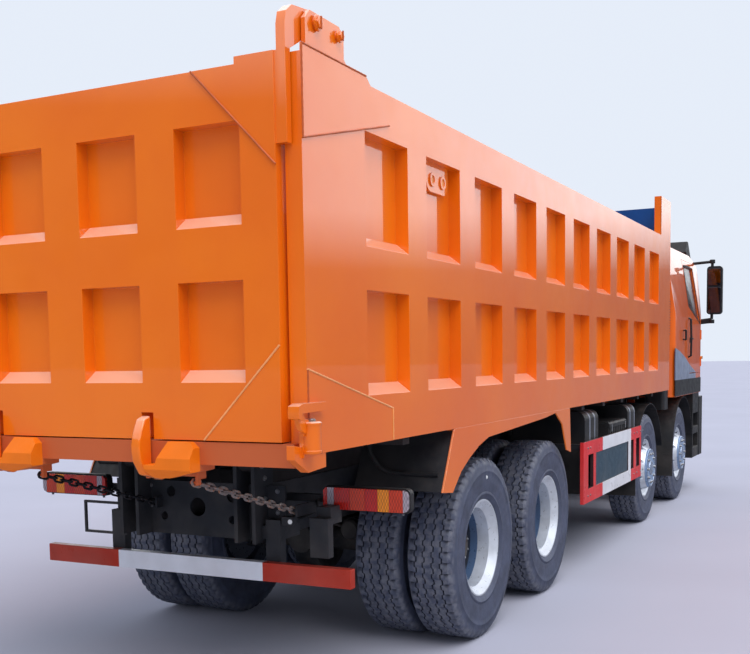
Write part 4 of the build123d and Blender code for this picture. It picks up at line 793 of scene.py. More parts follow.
def wheel_places():
    """Every tyre: name, body, CAD node, place."""
    places = []
    for number, x in enumerate(AXLES, 1):
        for side, way in SIDES:
            if number < 3:
                node = "tyre_%d_%s" % (number, side)
                body = "wheel_%d_%s" % (number, side)
                places.append((node + "_tread", body, node, (x, way * FRONT_TYRE_Y, AXLE_Z)))
                continue
            for label, y in zip(("inner", "outer"), TWIN_TYRE_Y):
                node = "tyres_%d_%s" % (number, side)
                name = "tyre_%d_%s_%s" % (number, side, label)
                places.append((name, "wheels_%d_%s" % (number, side), node, (x, way * y, AXLE_Z)))
    return places


def make_tyres():
    mesh = tyre_mesh()
    for name, body, node, at in wheel_places():
        piece = place_mesh(name, mesh, at)
        attach(piece, body, (node,))


# Wheels

def make_wheel_details():
    for number, x in enumerate(AXLES, 1):
        for side, way in SIDES:
            out = Vector((0, way, 0))
            shape = Shape()
            if number < 3:
                front_wheel(shape, Vector((x, way * FRONT_TYRE_Y, AXLE_Z)), out)
                body = "wheel_%d_%s" % (number, side)
            else:
                rear_wheel(shape, Vector((x, 0, AXLE_Z)), way)
                body = "wheels_%d_%s" % (number, side)
            if number == 4:
                shape.use("white_mark")
                shape.turned(((11, -3), (11, 2)), (x + 22, way * 1185, AXLE_Z + 438), out, 20, close=False)
            shape.build("wheel_fittings_%d_%s" % (number, side), body, "rim_paint", 1.0)


def ring_of(count, radius, centre, start=0.0):
    """Places round a circle that faces along Y."""
    for k in range(count):
        turn = 2 * pi * (k + start) / count
        yield centre + Vector((radius * cos(turn), 0, radius * sin(turn)))


def front_wheel(shape, centre, out):
    """Flat cover with its bolt ring, a raised lip and a small cap in the middle, and the valve."""
    face = centre + out * 189
    shape.use("disc_silver")
    shape.turned(((196, 0), (196, 3), (182, 4), (180, 0)), face - out * 1, out, 64)
    shape.turned(((78, -1), (76, 5), (58, 8), (0.5, 9)), face, out, 40, close=False)
    shape.use("bolt_steel")
    for spot in ring_of(10, 152, face):
        shape.turned(((17, -1), (15, 3)), spot, out, 20, close=False)
        shape.bolt(spot + out * 2, out, 12, 16)
    for spot in ring_of(6, 66, face + out * 5, 0.5):
        shape.bolt(spot, out, 5, 5)
    shape.use("hose_black")
    shape.tube([centre + out * a + Vector((0, 0, b)) for a, b in ((96, 232), (118, 236), (134, 250))], 4.5, 8)


def rear_wheel(shape, centre, way):
    """Nuts on the disc, the hub's bolt ring, its cap, and a valve on the barrel."""
    out = Vector((0, way, 0))
    disc = centre + out * 876
    shape.use("bolt_steel")
    for spot in ring_of(10, 146, disc):
        shape.bolt(spot, out, 14, 26)
        shape.turned(((7, 20), (7, 38)), spot, out, 10, close=False)
    hub = centre + out * 1022
    shape.use("cast_black")
    shape.turned(((100, -2), (100, 5), (88, 9), (0.5, 9)), hub, out, 40, close=False)
    shape.use("bolt_steel")
    for spot in ring_of(8, 84, hub + out * 8, 0.5):
        shape.bolt(spot, out, 7, 8)
    shape.use("hose_black")
    valve = ((1040, 218), (1075, 224), (1102, 236))
    shape.tube([centre + out * a + Vector((0, 0, b)) for a, b in valve], 4.5, 8)


# Lock chains

HOOK_PIN_X = -5111
HOOK_Y = 455
CHAIN_SIDE = -191
CHAIN_TOP_Z = 1206
CHAIN_END = (-4260, 960)
LINKS = 17
LINK_WIRE = 6
LINK_HALF_W = 14.5
CHAIN_OVERHANG = 8


def link_path(centre, way, flat, half):
    """Middle line of one round-wire link: two straights and two half circles."""
    path = []
    reach = half - LINK_HALF_W
    for end in (1, -1):
        for k in range(9):
            turn = pi * (k / 8 - 0.5)
            along = end * (reach + LINK_HALF_W * cos(turn))
            path.append(centre + way * along + flat * (end * LINK_HALF_W * sin(turn)))
    return path


def make_chains():
    for name, mid, finish in (("left", HOOK_Y, "chain_black"), ("right", -HOOK_Y, "chain_worn")):
        y = mid + CHAIN_SIDE
        start = Vector((HOOK_PIN_X, y, CHAIN_TOP_Z))
        end = Vector((CHAIN_END[0], y, CHAIN_END[1]))
        way = (end - start).normalized()
        pitch = ((end - start).length + 2 * CHAIN_OVERHANG) / LINKS
        half = pitch / 2 + LINK_WIRE
        shape = Shape().use(finish)
        across = way.cross(Vector((0, 1, 0))).normalized()
        for k in range(LINKS):
            centre = start + way * (pitch * (k + 0.5) - CHAIN_OVERHANG)
            flat = across if k % 2 == 0 else Vector((0, 1, 0))
            shape.tube(link_path(centre, way, flat, half), LINK_WIRE, 8, close=True)
        piece = shape.build("lock_chain_" + name, slot="chain_steel", stands_for=("lock_chains",))
        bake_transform(piece)


# Rear lamps

LAMP_BACK = -4063
LAMP_FACE = -4125
LAMP_IN = 735
LAMP_OUT = 1240
LAMP_Z = (950, 1078)
LAMP_CELLS = (
    (0.0, 0.05, "lens_red"), (0.05, 0.13, "lens_clear"), (0.13, 0.32, "lens_red"), (0.32, 0.5, "lens_warm"),
    (0.5, 0.65, "lens_red"), (0.65, 0.78, "lens_amber"), (0.78, 0.94, "lens_warm"), (0.94, 1.0, "lens_clear"),
)


def make_rear_lamps():
    """Long lamps: grey tray, then cells of coloured lens, the end ones rounded off."""
    long = LAMP_OUT - LAMP_IN - 12
    low, high = LAMP_Z[0] + 7, LAMP_Z[1] - 7
    for side, way in SIDES:
        shape = Shape().use("plastic_black")
        tray = rounded(
            way * (LAMP_IN + LAMP_OUT) / 2, (LAMP_Z[0] + LAMP_Z[1]) / 2, LAMP_OUT - LAMP_IN, 128, 30)
        shape.prism(tray, "X", (LAMP_FACE + 20, LAMP_BACK))
        for near, far, finish in LAMP_CELLS:
            shape.use(finish)
            y0 = LAMP_IN + 6 + near * long
            y1 = LAMP_IN + 6 + far * long - 1
            cut0 = 16 if near == 0 else 0.5
            cut1 = 26 if far == 1 else 0.5
            outline = [
                (y0, low + cut0), (y0 + cut0, low), (y1 - cut1, low), (y1 - cut1 * 0.3, low + cut1 * 0.3),
                (y1, low + cut1), (y1, high - cut1), (y1 - cut1 * 0.3, high - cut1 * 0.3), (y1 - cut1, high),
                (y0 + cut0, high), (y0, high - cut0),
            ]
            shape.prism([(way * a, b) for a, b in outline], "X", (LAMP_FACE + 2, LAMP_FACE + 26))
        shape.use("bolt_steel")
        for at in (0.1, 0.9):
            y = way * (LAMP_IN + at * (LAMP_OUT - LAMP_IN))
            shape.rod((LAMP_BACK - 24, y, LAMP_Z[0] - 12), (LAMP_BACK - 24, y, LAMP_Z[0] + 6), 7)
        shape.build("tail_lamp_" + side, "chassis", "red_lens", 1.6, ("rear_lamps",))


def rounded(mid_a, mid_b, width, height, radius, steps=5):
    """Outline of a rectangle with round corners."""
    outline = []
    for k, (sign_a, sign_b) in enumerate(((1, 1), (-1, 1), (-1, -1), (1, -1))):
        for step in range(steps + 1):
            turn = pi / 2 * (k + step / steps)
            outline.append((
                mid_a + sign_a * (width / 2 - radius) + radius * cos(turn),
                mid_b + sign_b * (height / 2 - radius) + radius * sin(turn)))
    return outline


# Bed

GATE_PIN = (-4980, 3124)
EYES_MID = -3637
FLAP_ROD = (
    (784, 1320), (784, 1232), (790, 1205), (808, 1181), (830, 1150),
    (858, 1126), (892, 1111), (932, 1106), (1152, 1098), (1200, 1102))


def make_bed_details():
    """Seams round the corner plates, hinge pin heads, rear corner latches, eye brackets, flap rods."""
    shape = Shape().use("seam_pale")
    y = BED_HALF + 6
    # Weld beads: pale ones are a painted highlight along the seam, dark ones painted shade.
    seams = (
        ((-5136, 2635), (-4331, 2833), "seam_dark"), ((-5136, 3007), (-4564, 3007), "seam_dark"),
        ((-5134, 2640), (-5134, 3004), "seam_dark"), ((-5136, 1703), (-4329, 1503), "seam_pale"),
        ((-4329, 1503), (-4329, 1350), "seam_pale"), ((-5134, 1352), (-5134, 1700), "seam_dark"))
    for (x0, z0), (x1, z1), finish in seams:
        shape.use(finish)
        shape.weld((x0, y, z0), (x1, y, z1), 4, 15)
    shape.weld((2183, BED_HALF, 2979), (2183, BED_HALF, 3370), 3, 12)
    for x, z, size in ((GATE_PIN[0], GATE_PIN[1], 24), (-4792, 3121, 19)):
        shape.use("bed_orange")
        shape.turned(((size * 1.4, -3), (size * 1.4, 4)), (x, 1246, z), sides=28, close=False)
        shape.bolt((x, 1249, z), (0, 1, 0), size, 14)
        # Dark rods across each pin head: painted shade of the pin's slot.
        shape.use("seam_dark")
        shape.rod((x, 1264, z - size * 1.1), (x, 1264, z + size * 1.1), 4, 10)
    shape.use("bed_orange")
    latch(shape)
    eye_bracket(shape, EYES_MID)
    shape.use("plastic_black")
    shape.tube([(-3655, a, b) for a, b in FLAP_ROD], 13, 14)
    shape.use("bolt_steel")
    for a in (760, 960, 1180):
        shape.bolt((-3545, a, 1262), (-0.86, 0, 0.5), 9)
    shape.mirrored().build("bed_fittings", "bed", "bed_paint", 1.6)


def latch(shape):
    """Bracket at a rear bottom corner: bar out behind the gate, bent cheek, lip and spring pot."""
    y = (1238, 1290)
    shape.prism((
        (-5040, 1530), (-5046, 1566), (-5235, 1566), (-5268, 1556), (-5272, 1528), (-5268, 1506),
        (-5250, 1500),
        (-5240, 1526)), "Y", y)
    shape.prism((
        (-5150, 1443), (-5205, 1443), (-5235, 1462), (-5262, 1510), (-5262, 1540), (-5225, 1540),
        (-5200, 1502),
        (-5150, 1490)), "Y", (1258, 1278))
    shape.box((-5205, -5080), (1250, 1272), (1430, 1446))
    pot = ((38, 0), (42, 6), (42, 14), (38, 20), (38, 112), (42, 118), (42, 128), (34, 134))
    shape.turned(pot, (-5156, 1282, 1356), (0, 0, 1), 28, close=False)
    shape.box((-5190, -5110), (1240, 1262), (1340, 1500))
    shape.use("bolt_steel")
    shape.turned(((16, -2), (16, 8), (12, 12)), (-5156, 1282, 1489), (0, 0, 1), 20, close=False)
    shape.use("bed_orange")


def eye_bracket(shape, mid):
    """Rounded plate with two eyes under the top rail."""
    y = (1186, 1204)
    outline = [(mid - 146, 2768), (mid - 146, 2676)]
    for k in range(9):
        turn = pi + pi / 2 * k / 8
        outline.append((mid - 86 + 60 * cos(turn), 2676 + 60 * sin(turn)))
    for k in range(9):
        turn = 1.5 * pi + pi / 2 * k / 8
        outline.append((mid + 86 + 60 * cos(turn), 2676 + 60 * sin(turn)))
    outline += [(mid + 146, 2768)]
    shape.prism(outline, "Y", y)
    for x in (mid - 72, mid + 66):
        shape.turned(((36, -2), (36, 8), (22, 8), (22, -2)), (x, y[1], 2680), sides=32)
        # Pale ring inside each eye: painted highlight where the bore is lit.
        shape.use("seam_pale")
        shape.turned(((22, 0), (22, 1.5)), (x, y[1], 2680), sides=32, close=False)
        shape.use("bed_orange")


def make_gate_details():
    """Seams of the corner plates, and washers where the arms turn."""
    # Upper seam in the dark copy as painted shade, lower seam in the pale copy as painted highlight.
    shape = Shape().use("seam_dark")
    x = GATE_REAR - 7
    shape.weld((x, GATE_HALF - 408, 2949), (x, GATE_HALF, 2532), 4, 15)
    shape.use("seam_pale")
    shape.weld((x, GATE_HALF - 391, 1403), (x, GATE_HALF, 1803), 4, 15)
    shape.use("bolt_steel")
    shape.turned(((50, 0), (50, 4), (24, 4)), (GATE_PIN[0], 1162, GATE_PIN[1]), (0, -1, 0), 30, close=False)
    shape.mirrored().build("gate_fittings", "tailgate", "bed_paint", 1.0)


# Rear end and underside

HOSES = (
    ((-4205, 120, 905), (-4130, 150, 840), (-3900, 210, 800),
     (-3500, 230, 790), (-3150, 250, 720), (-3060, 300, 650)),
    ((-4205, -60, 890), (-4100, -90, 800), (-3850, -180, 770),
     (-3450, -240, 770), (-3160, -280, 700), (-3060, -320, 650)),
    ((-3020, 330, 640), (-2500, 250, 760), (-1900, 240, 800), (-1650, 320, 650)),
    ((-3020, -330, 640), (-2500, -250, 760), (-1900, -240, 800), (-1650, -320, 650)),
    ((-4100, -700, 1000), (-4020, -640, 930), (-3990, -520, 880), (-3960, -440, 900)),
    ((-4100, 700, 1000), (-4020, 640, 930), (-3990, 520, 880), (-3960, 440, 900)),
)


def curve(points, steps=7):
    """Smooth path through points."""
    points = [Vector(point) for point in points]
    ends = [points[0] * 2 - points[1]] + points + [points[-1] * 2 - points[-2]]
    path = []
    for a, b, c, d in zip(ends, ends[1:], ends[2:], ends[3:]):
        for k in range(steps):
            t = k / steps
            bend = (2 * a - 5 * b + 4 * c - d) * t * t
            twist = (3 * b - a - 3 * c + d) * t ** 3
            path.append(0.5 * (2 * b + (c - a) * t + bend + twist))
    return path + [points[-1]]


def make_rear_details():
    """Under the bed: bolts, blocks, hoses, brake chambers, rods, clamps, spring leaves and dampers."""
    shape = Shape().use("bolt_steel")
    for y in (-520, -420, -320, 320, 420, 520):
        for z in (935, 1050):
            shape.bolt((-4221, y, z), (-1, 0, 0), 11)
    for way in (-1, 1):
        for z in (820, 1010, 1120):
            shape.bolt((-4240, way * 452, z), (0, way, 0), 12)
        shape.turned(((40, 0), (40, 6), (22, 8)), (-4275, way * 460, 1215), (0, way, 0), 28, close=False)
    shape.use("white_mark")
    shape.turned(((13, -2), (13, 3)), (-4275, -627, 902), (-1, 0, 0), 24, close=False)
    shape.use("chassis_black")
    shape.box((-4275, -4225), (-640, -575), (880, 925))
    shape.box((-4275, -4221), (-852, -744), (723, 928))
    shape.box((-4221, -4103), (-840, -756), (890, 980))
    shape.use("hose_black")
    for path in HOSES:
        shape.tube(curve(path), 11, 10)
    for x in AXLES[2:]:
        for way in (-1, 1):
            brake_chamber(shape, Vector((x - 95, way * 372, 665)))
            shape.use("cast_black")
            shape.rod((x + 30, way * 210, 650), (-2200 + (x + 2200) * 0.25, way * 300, 815), 24)
            shape.turned(((46, -30), (46, 30)), (x + 30, way * 210, 650), sides=28, close=False)
            shape.use("dark_steel")
            clamp(shape, x, way * 477, AXLE_Z, 60)
    shape.use("cast_black")
    for way in (-1, 1):
        spring_leaves(shape, way)
    for x in AXLES[:2]:
        for way in (-1, 1):
            shape.use("dark_steel")
            for dx in (-70, 70):
                bend = ((428, 500), (428, 700), (514, 700), (514, 500))
                shape.tube([(x + dx, way * y, z) for y, z in bend], 9, 10)
            shape.use("hose_black")
            shape.rod((x - 110, way * 600, 560), (x - 30, way * 560, 960), 34, 24)
    shape.build("underside", "chassis", "chassis_paint", 1.2)


def brake_chamber(shape, at):
    """Double air chamber with its clamp bands, lying along the truck."""
    shape.use("cast_black")
    profile = (
        (30, 0), (58, 4), (68, 14), (68, 60), (75, 62), (75, 74), (68, 76), (68, 118), (75, 120),
        (75, 132), (68, 134),
        (66, 170), (52, 184), (20, 188))
    shape.turned(profile, at, (-1, 0, 0), 32, close=False)
    shape.rod(at, at + Vector((60, 0, -20)), 14)


def clamp(shape, x, y, z, lift):
    """Two U bolts with their nuts over an axle."""
    top = z + lift + 72
    bend = ((-56, z - 90), (-56, top - 6), (-50, top), (50, top), (56, top - 6), (56, z - 90))
    for dx in (-45, 45):
        shape.tube([(x + dx, y + dy, at) for dy, at in bend], 10, 10)
        for dy in (-56, 56):
            shape.bolt((x + dx, y + dy, z - 88), (0, 0, -1), 15)
    shape.box((x - 66, x + 66), (y - 72, y + 72), (z - 92, z - 80))


def spring_leaves(shape, way):
    """Separate leaves shown on the outer face of the bogie's spring pack."""
    y = sorted((way * 524, way * 532))
    mid = -2200
    for k in range(7):
        reach = 640 - 70 * k
        z = 700 + 24 * k
        rise = 62 - 4 * k
        shape.prism((
            (mid - reach, z - rise), (mid - reach, z - rise + 17), (mid - 150, z + 17), (mid + 150, z + 17),
            (mid + reach, z - rise + 17), (mid + reach, z - rise), (mid + 150, z), (mid - 150, z)), "Y", y)


# Sides

CASE_OUT = 1188
STRAPS = ((-266, 1285), (-421, 1285), (1064, 1265), (1243, 1265))
TANK_BELT = (
    (520, 600), (520, 560), (560, 545), (1100, 545), (1142, 560),
    (1152, 620), (1152, 840), (1142, 890), (1100, 905), (560, 905))


def make_side_details():
    """Straps, the case's ribs, lid and catches, guard bolts, the tank's cap, and the intake's louvres."""
    shape = Shape().use("strap_grey")
    for x, top in STRAPS:
        inner = [(-CASE_OUT, 640), (-CASE_OUT, top - 80)]
        for k in range(1, 8):
            turn = pi - pi / 2 * k / 8
            inner.append((-CASE_OUT + 80 + 80 * cos(turn), top - 80 + 80 * sin(turn)))
        inner += [(-CASE_OUT + 80, top), (-600, top)]
        strap(shape, x, 34, inner, 4)
        shape.bolt((x + 17, -CASE_OUT - 4, 720), (0, -1, 0), 11)
    shape.use("plastic_black")
    for k in range(9):
        x = 262 + 70 * k
        shape.prism(((x, 1138), (x + 30, 1138), (x + 26, 1148), (x + 4, 1148)), "Y", (-1176, -620))
        shape.prism(((x, 640), (x, 1100), (x + 30, 1100), (x + 30, 640)), "Y", (-1194, -1186))
    shape.prism(((-1197, 1096), (-1197, 1128), (-1184, 1142), (-1150, 1142), (-1150, 1096)), "X", (236, 884))
    shape.use("bolt_steel")
    for x in (300, 820):
        shape.box((x, x + 30), (-1203, -1196), (1060, 1120))
    for x in (-640, -560, 1050, 1170, 1330, 1440):
        for z in (600, 990):
            shape.turned(((9, -1), (9, 3), (5, 5)), (x, -1235, z), (0, -1, 0), 18, close=False)
            shape.turned(((9, -1), (9, 3), (5, 5)), (x, 1235, z), (0, 1, 0), 18, close=False)
    shape.use("dark_steel")
    for x in (-60, 560):
        strap(shape, x, 40, TANK_BELT, 5, 0.5)
    shape.use("plastic_black")
    shape.turned(((52, 0), (52, 26), (44, 34), (12, 36)), (440, 1020, 898), (0, 0, 1), 32, close=False)
    shape.build("side_fittings", "chassis", "dark_plastic", 1.5)
    grille = Shape().use("plastic_black")
    for k in range(13):
        z = 1960 + 30 * k
        grille.prism(((-1196, z), (-1178, z + 4), (-1178, z + 22), (-1196, z + 12)), "X", (2818, 3034))
    for k in range(11):
        z = 2440 + 26 * k
        grille.prism(((2798, z), (2807, z + 3), (2807, z + 18), (2798, z + 9)), "Y", (-1150, -990))
    grille.build("intake_louvres", "chassis", "dark_plastic", 1.0)


def strap(shape, x, width, inner, thick, gap=-0.5):
    """A flat band along a path in Y and Z, its inner face a gap out from the path."""
    path = [Vector((0, y, z)) for y, z in inner]
    loops = []
    for k, point in enumerate(path):
        run = (path[min(k + 1, len(path) - 1)] - path[max(k - 1, 0)]).normalized()
        out = Vector((0, run.z, -run.y))
        near = point + out * gap
        far = point + out * thick
        corners = ((x, near), (x + width, near), (x + width, far), (x, far))
        loops.append([Vector((a, p.y, p.z)) for a, p in corners])
    shape.rings(loops)


# Cab

LAMP_FRONT_X = 5268


def cab_side_y(z):
    """How far out the cab's side lies at a height."""
    return CAB_HALF - max(0, z - 2150) * 100 / 700


def cab_front_x(y, z):
    """How far forward the cab's front lies at a place across and a height."""
    corner = max(0, abs(y) - (CAB_HALF - 420))
    curve_in = 420 - (420 ** 2 - min(corner, 419) ** 2) ** 0.5
    return CAB_FRONT - max(0, z - 1960) * 190 / 950 - curve_in


def seal(shape, outline, place, wide, thick):
    """A rubber lip round a window: place puts each point of the outline, moved out by a distance."""
    mid = Vector(outline[0]).lerp(Vector(outline[2]), 0.5)
    loops = []
    for start, end in zip(outline, outline[1:] + outline[:1]):
        for k in range(8):
            a = Vector(start).lerp(Vector(end), k / 8)
            b = a + (a - mid).normalized() * wide
            loops.append([place(a, -3), place(b, -3), place(b, thick), place(a, thick)])
    shape.rings(loops, close=True)


def make_cab_outside():
    """Lower trim, grab handles, headlamp rings and domes, other lamps, screen rubber, wipers, grille bars."""
    both = Shape().use("trim_grey")
    both.prism((
        (3100, 1442), (3100, 1806), (3403, 1762), (3700, 1700), (3999, 1616), (3999, 1500),
        (4450, 1500), (4450, 1440)),
        "Y", (1237, 1249))
    both.use("plastic_black")
    both.prism(((3105, 1256), (3105, 1440), (4860, 1440), (4860, 1256)), "Y", (1237, 1246))
    both.box((3590, 3618), (1236, 1278), (1900, 1916))
    both.box((3590, 3618), (1236, 1278), (2004, 2020))
    both.prism(((1262, 1894), (1282, 1904), (1282, 2016), (1262, 2026)), "X", (3588, 3620))
    grip = ((1236, 1700), (1270, 1716), (1274, 1900), (1266, 2150), (1236, 2166))
    both.tube([(3962, y, z) for y, z in grip], 13, 14)
    both.use("lens_amber")
    both.prism(rounded(5010, 1690, 70, 38, 12), "Y", (1130, 1238))
    for radius, y, z in ((80, 860, 884), (48, 1000, 884)):
        ring = ((radius, 0), (radius, 7), (radius - 8, 7), (radius - 12, 0))
        dome = ((radius - 9, 1), (radius - 9, 3), (radius * 0.6, 5), (0.5, 6))
        both.use("hoist_chrome")
        both.turned(ring, (LAMP_FRONT_X, y, z), (1, 0, 0), 40)
        both.use("lens_head")
        both.turned(dome, (LAMP_FRONT_X, y, z), (1, 0, 0), 36, close=False)
    both.use("lens_amber")
    both.prism(rounded(920, 790, 250, 22, 8), "X", (5262, 5273))
    both.mirrored().build("cab_side_fittings", "chassis", "dark_plastic", 2.0)

    shape = Shape().use("hose_black")
    screen = [(-985, 2035), (985, 2035), (930, 2800), (-930, 2800)]
    seal(shape, screen, lambda p, out: (cab_front_x(p.x, p.y) + out, p.x, p.y), 26, 5)
    back = [(-420, 2250), (420, 2250), (420, 2700), (-420, 2700)]
    seal(shape, back, lambda p, out: (3095 - out, p.x, p.y), 24, 5)
    shape.use("plastic_black")
    for pivot, tip in ((-150, -760), (720, 110)):
        foot = Vector((cab_front_x(pivot, 2010) + 10, pivot, 2010))
        end = Vector((cab_front_x(tip, 2200) + 24, tip, 2200))
        shape.turned(((26, -14), (26, 12), (12, 18)), foot, (1, 0, 0.2), 24, close=False)
        shape.tube([foot + Vector((8, 0, 0)), foot.lerp(end, 0.3) + Vector((14, 0, 0)), end], 8, 10)
        blade = [Vector((cab_front_x(y, 2010 + rise) + 12, y, 2010 + rise)) for y, rise in (
            (tip - 40, 70), (tip, 190), (tip + 40, 310), (tip + 90, 460))]
        shape.tube(blade, 9, 8)
    for k in range(12):
        y = -660 + 120 * k
        shape.prism(((y - 5, 1300), (y + 5, 1300), (y + 5, 1860), (y - 5, 1860)), "X", (5246, 5252))
    shape.use("lens_amber")
    for y in (-700, -350, 350, 700):
        shape.prism(rounded(y, 3098, 96, 34, 12), "X", (4700, 4770))
    shape.use("trim_grey")
    shape.prism(rounded(0, 1785, 1180, 60, 24), "X", (5250, 5266))
    shape.use("bolt_steel")
    for y in (-1100, 1100):
        shape.bolt((5190, y, 500), (1, 0, 0), 10)
    shape.build("cab_front_fittings", "chassis", "dark_plastic", 1.5)


DOOR_WINDOW = ((4085, 2330), (4765, 2130), (4695, 2800), (4085, 2800))
DOOR_PULL = (
    (4045, 1243, 1920), (4048, 1262, 1922), (4100, 1268, 1924), (4152, 1262, 1922), (4155, 1243, 1920))


def make_door_details():
    """On each door: window rubber, handle with its lock, and the trim's front end."""
    for side, way in SIDES:
        shape = Shape().use("hose_black")
        seal(shape, list(DOOR_WINDOW), lambda p, out: (p.x, cab_side_y(p.y) + out, p.y), 22, 4)
        shape.use("plastic_black")
        shape.prism(rounded(4100, 1905, 150, 70, 22), "Y", (1236, 1243))
        shape.tube(DOOR_PULL, 9, 12)
        shape.turned(((11, 0), (9, 4)), (4100, 1243, 1884), sides=20, close=False)
        shape.use("trim_grey")
        shape.prism(((4010, 1512), (4010, 1612), (4430, 1520), (4430, 1512)), "Y", (1237, 1249))
        if way < 0:
            shape.points = [(x, -y, z) for x, y, z in shape.points]
            shape.faces = [face[::-1] for face in shape.faces]
        shape.build("door_fittings_" + side, "door_" + side, "dark_plastic", 1.2)


def make_mirror_glass():
    """Main and wide-angle glass in each mirror, their rims, and the arm's joints."""
    shape = Shape()
    for z, height in ((2420, 320), (2712, 210)):
        shape.use("plastic_black")
        shape.prism(rounded(1386, z, 168, height + 14, 22), "X", (4950, 4958))
        shape.use("mirror_glass")
        shape.prism(rounded(1386, z, 152, height, 16), "X", (4946, 4951))
    shape.use("plastic_black")
    for z in (2150, 2912):
        shape.turned(((30, -24), (34, -18), (34, 18), (30, 24)), (4995, 1352, z), (0, 0, 1), 28, close=False)
    arm = ((1040, 2118), (1040, 2172), (1150, 2176), (1370, 2166), (1370, 2130), (1150, 2112))
    shape.prism(arm, "X", (4976, 5014))
    shape.mirrored().build("mirror_fittings", "chassis", "dark_plastic", 1.2)


# Inside the cab

FLOOR = 1295


def pillow(shape, centre, size, tilt=0.0, edge=40, crown=14):
    """A cushion with round corners and a crowned face, its size along X, Y and Z, tilted about Y."""
    long, wide, thick = size
    turn = Matrix.Rotation(radians(tilt), 3, "Y")
    steps = (
        (0.55, 0), (0.2, 0.02), (0.04, 0.12), (0, 0.3), (0, 0.7), (0.05, 0.88), (0.22, 0.97), (0.6, 1.0),
        (0.97, 1.0 + crown / thick))
    loops = []
    for inset, rise in steps:
        shrink = edge * 2.4 * inset
        sides = [max(30, side - 2 * shrink) for side in (long, wide)]
        outline = rounded(0, 0, *sides, max(10, edge - shrink * 0.3))
        loops.append([Vector(centre) + turn @ Vector((a, b, (rise - 0.5) * thick)) for a, b in outline])
    shape.rings(loops)


def make_interior():
    """Dashboard with its dials, wheel, tunnel, seats on their bases, and the bunk."""
    shape = Shape().use("lining_grey")
    shape.prism((
        (4790, 1600), (5190, 1420), (5190, 1930), (5080, 1985), (4950, 1990), (4860, 1950),
        (4800, 1880), (4775, 1800)),
        "Y", (-940, 940))
    hood = ((4740, 1650), (4790, 1640), (4860, 1990), (4830, 2040), (4790, 2030), (4760, 1900))
    shape.prism(hood, "Y", (300, 830))
    tunnel = ((3860, FLOOR), (4760, FLOOR), (4760, 1600), (4700, 1640), (3900, 1640), (3860, 1600))
    shape.prism(tunnel, "Y", (-320, 320))
    shape.box((3150, 5180), (-1150, 1150), (FLOOR, FLOOR + 14))
    shape.use("plastic_black")
    shape.prism(rounded(0, 1800, 500, 230, 30), "X", (4768, 4780))
    for z in (1740, 1800, 1860):
        for k in range(6):
            shape.prism(rounded(-200 + 80 * k, z, 54, 34, 8), "X", (4760, 4772))
    for y in (-820, -520, 860):
        shape.prism(rounded(y, 1890, 150, 80, 24), "X", (4786, 4800))
    for y in (470, 560, 650):
        shape.turned(((44, 0), (44, 8), (38, 8), (36, 2)), (4786, y, 1940), (-1, 0, 0.2), 28, close=False)
    steering(shape)
    for y in (-660, 660):
        seat(shape, y)
    shape.use("lining_grey")
    shape.prism(rounded(3435, 1480, 560, 340, 30), "Y", (-1080, 1080))
    shape.use("seat_cloth")
    pillow(shape, (3440, 0, 1700), (590, 2100, 130), 0, 50, 16)
    pillow(shape, (3400, 800, 1800), (380, 460, 120), 0, 50, 24)
    for y in (-700, 0, 700):
        shape.tube([(3170, y, 1768), (3440, y, 1778), (3710, y, 1768)], 5, 8)
    shape.build("cab_inside", "chassis", "cab_lining", 3.0, ("cab_interior",))


def steering(shape):
    """Steering wheel with a padded boss, three spokes, a column and two stalks."""
    centre = Vector((4630, 560, 1968))
    up = Vector((-180, 0, 140)).normalized()
    first, second = side_axes(up)
    ring = [centre + (first * cos(2 * pi * k / 56) + second * sin(2 * pi * k / 56)) * 215 for k in range(56)]
    shape.tube(ring, 15, 14, close=True)
    shape.turned(((30, -40), (70, -24), (78, 0), (66, 14), (0.5, 20)), centre, up, 32, close=False)
    for turn in (0.2, pi - 0.2, 1.5 * pi):
        way = first * cos(turn) + second * sin(turn)
        shape.tube([centre + way * 60 - up * 8, centre + way * 140 - up * 6, centre + way * 208], 15, 12)
    shape.rod(centre - up * 30, centre - up * 230, 34, 24)
    for y in (-110, 110):
        bend = centre - up * 80 + Vector((0, y, 10))
        tip = centre - up * 70 + Vector((0, y * 1.8, 24))
        shape.tube([centre - up * 110, bend, tip], 8, 10)


def seat(shape, y):
    """Sprung seat: base, bellows, cushion and back with side bolsters, and a headrest on two posts."""
    shape.use("plastic_black")
    shape.box((3990, 4440), (y - 200, y + 200), (FLOOR + 10, FLOOR + 60))
    for k in range(5):
        inset = 0 if k % 2 else 18
        z = FLOOR + 60 + 36 * k
        shape.box((4000 + inset, 4430 - inset), (y - 190 + inset, y + 190 - inset), (z, z + 36))
    pan = ((3960, 1532), (4480, 1532), (4500, 1580), (4480, 1600), (3960, 1600))
    shape.prism(pan, "Y", (y - 230, y + 230))
    shape.use("seat_cloth")
    pillow(shape, (4240, y, 1665), (480, 460, 130), -3, 60, 20)
    for side in (-1, 1):
        pillow(shape, (4240, y + side * 205, 1700), (440, 90, 110), -3, 40, 12)
        pillow(shape, (3925, y + side * 205, 2010), (90, 84, 560), -9, 38, 10)
    pillow(shape, (3935, y, 2010), (620, 440, 120), -99, 60, 22)
    pillow(shape, (3868, y, 2420), (190, 290, 90), -96, 45, 16)
    shape.use("bolt_steel")
    for side in (-60, 60):
        shape.rod((3890, y + side, 2290), (3872, y + side, 2360), 7)


# Stage

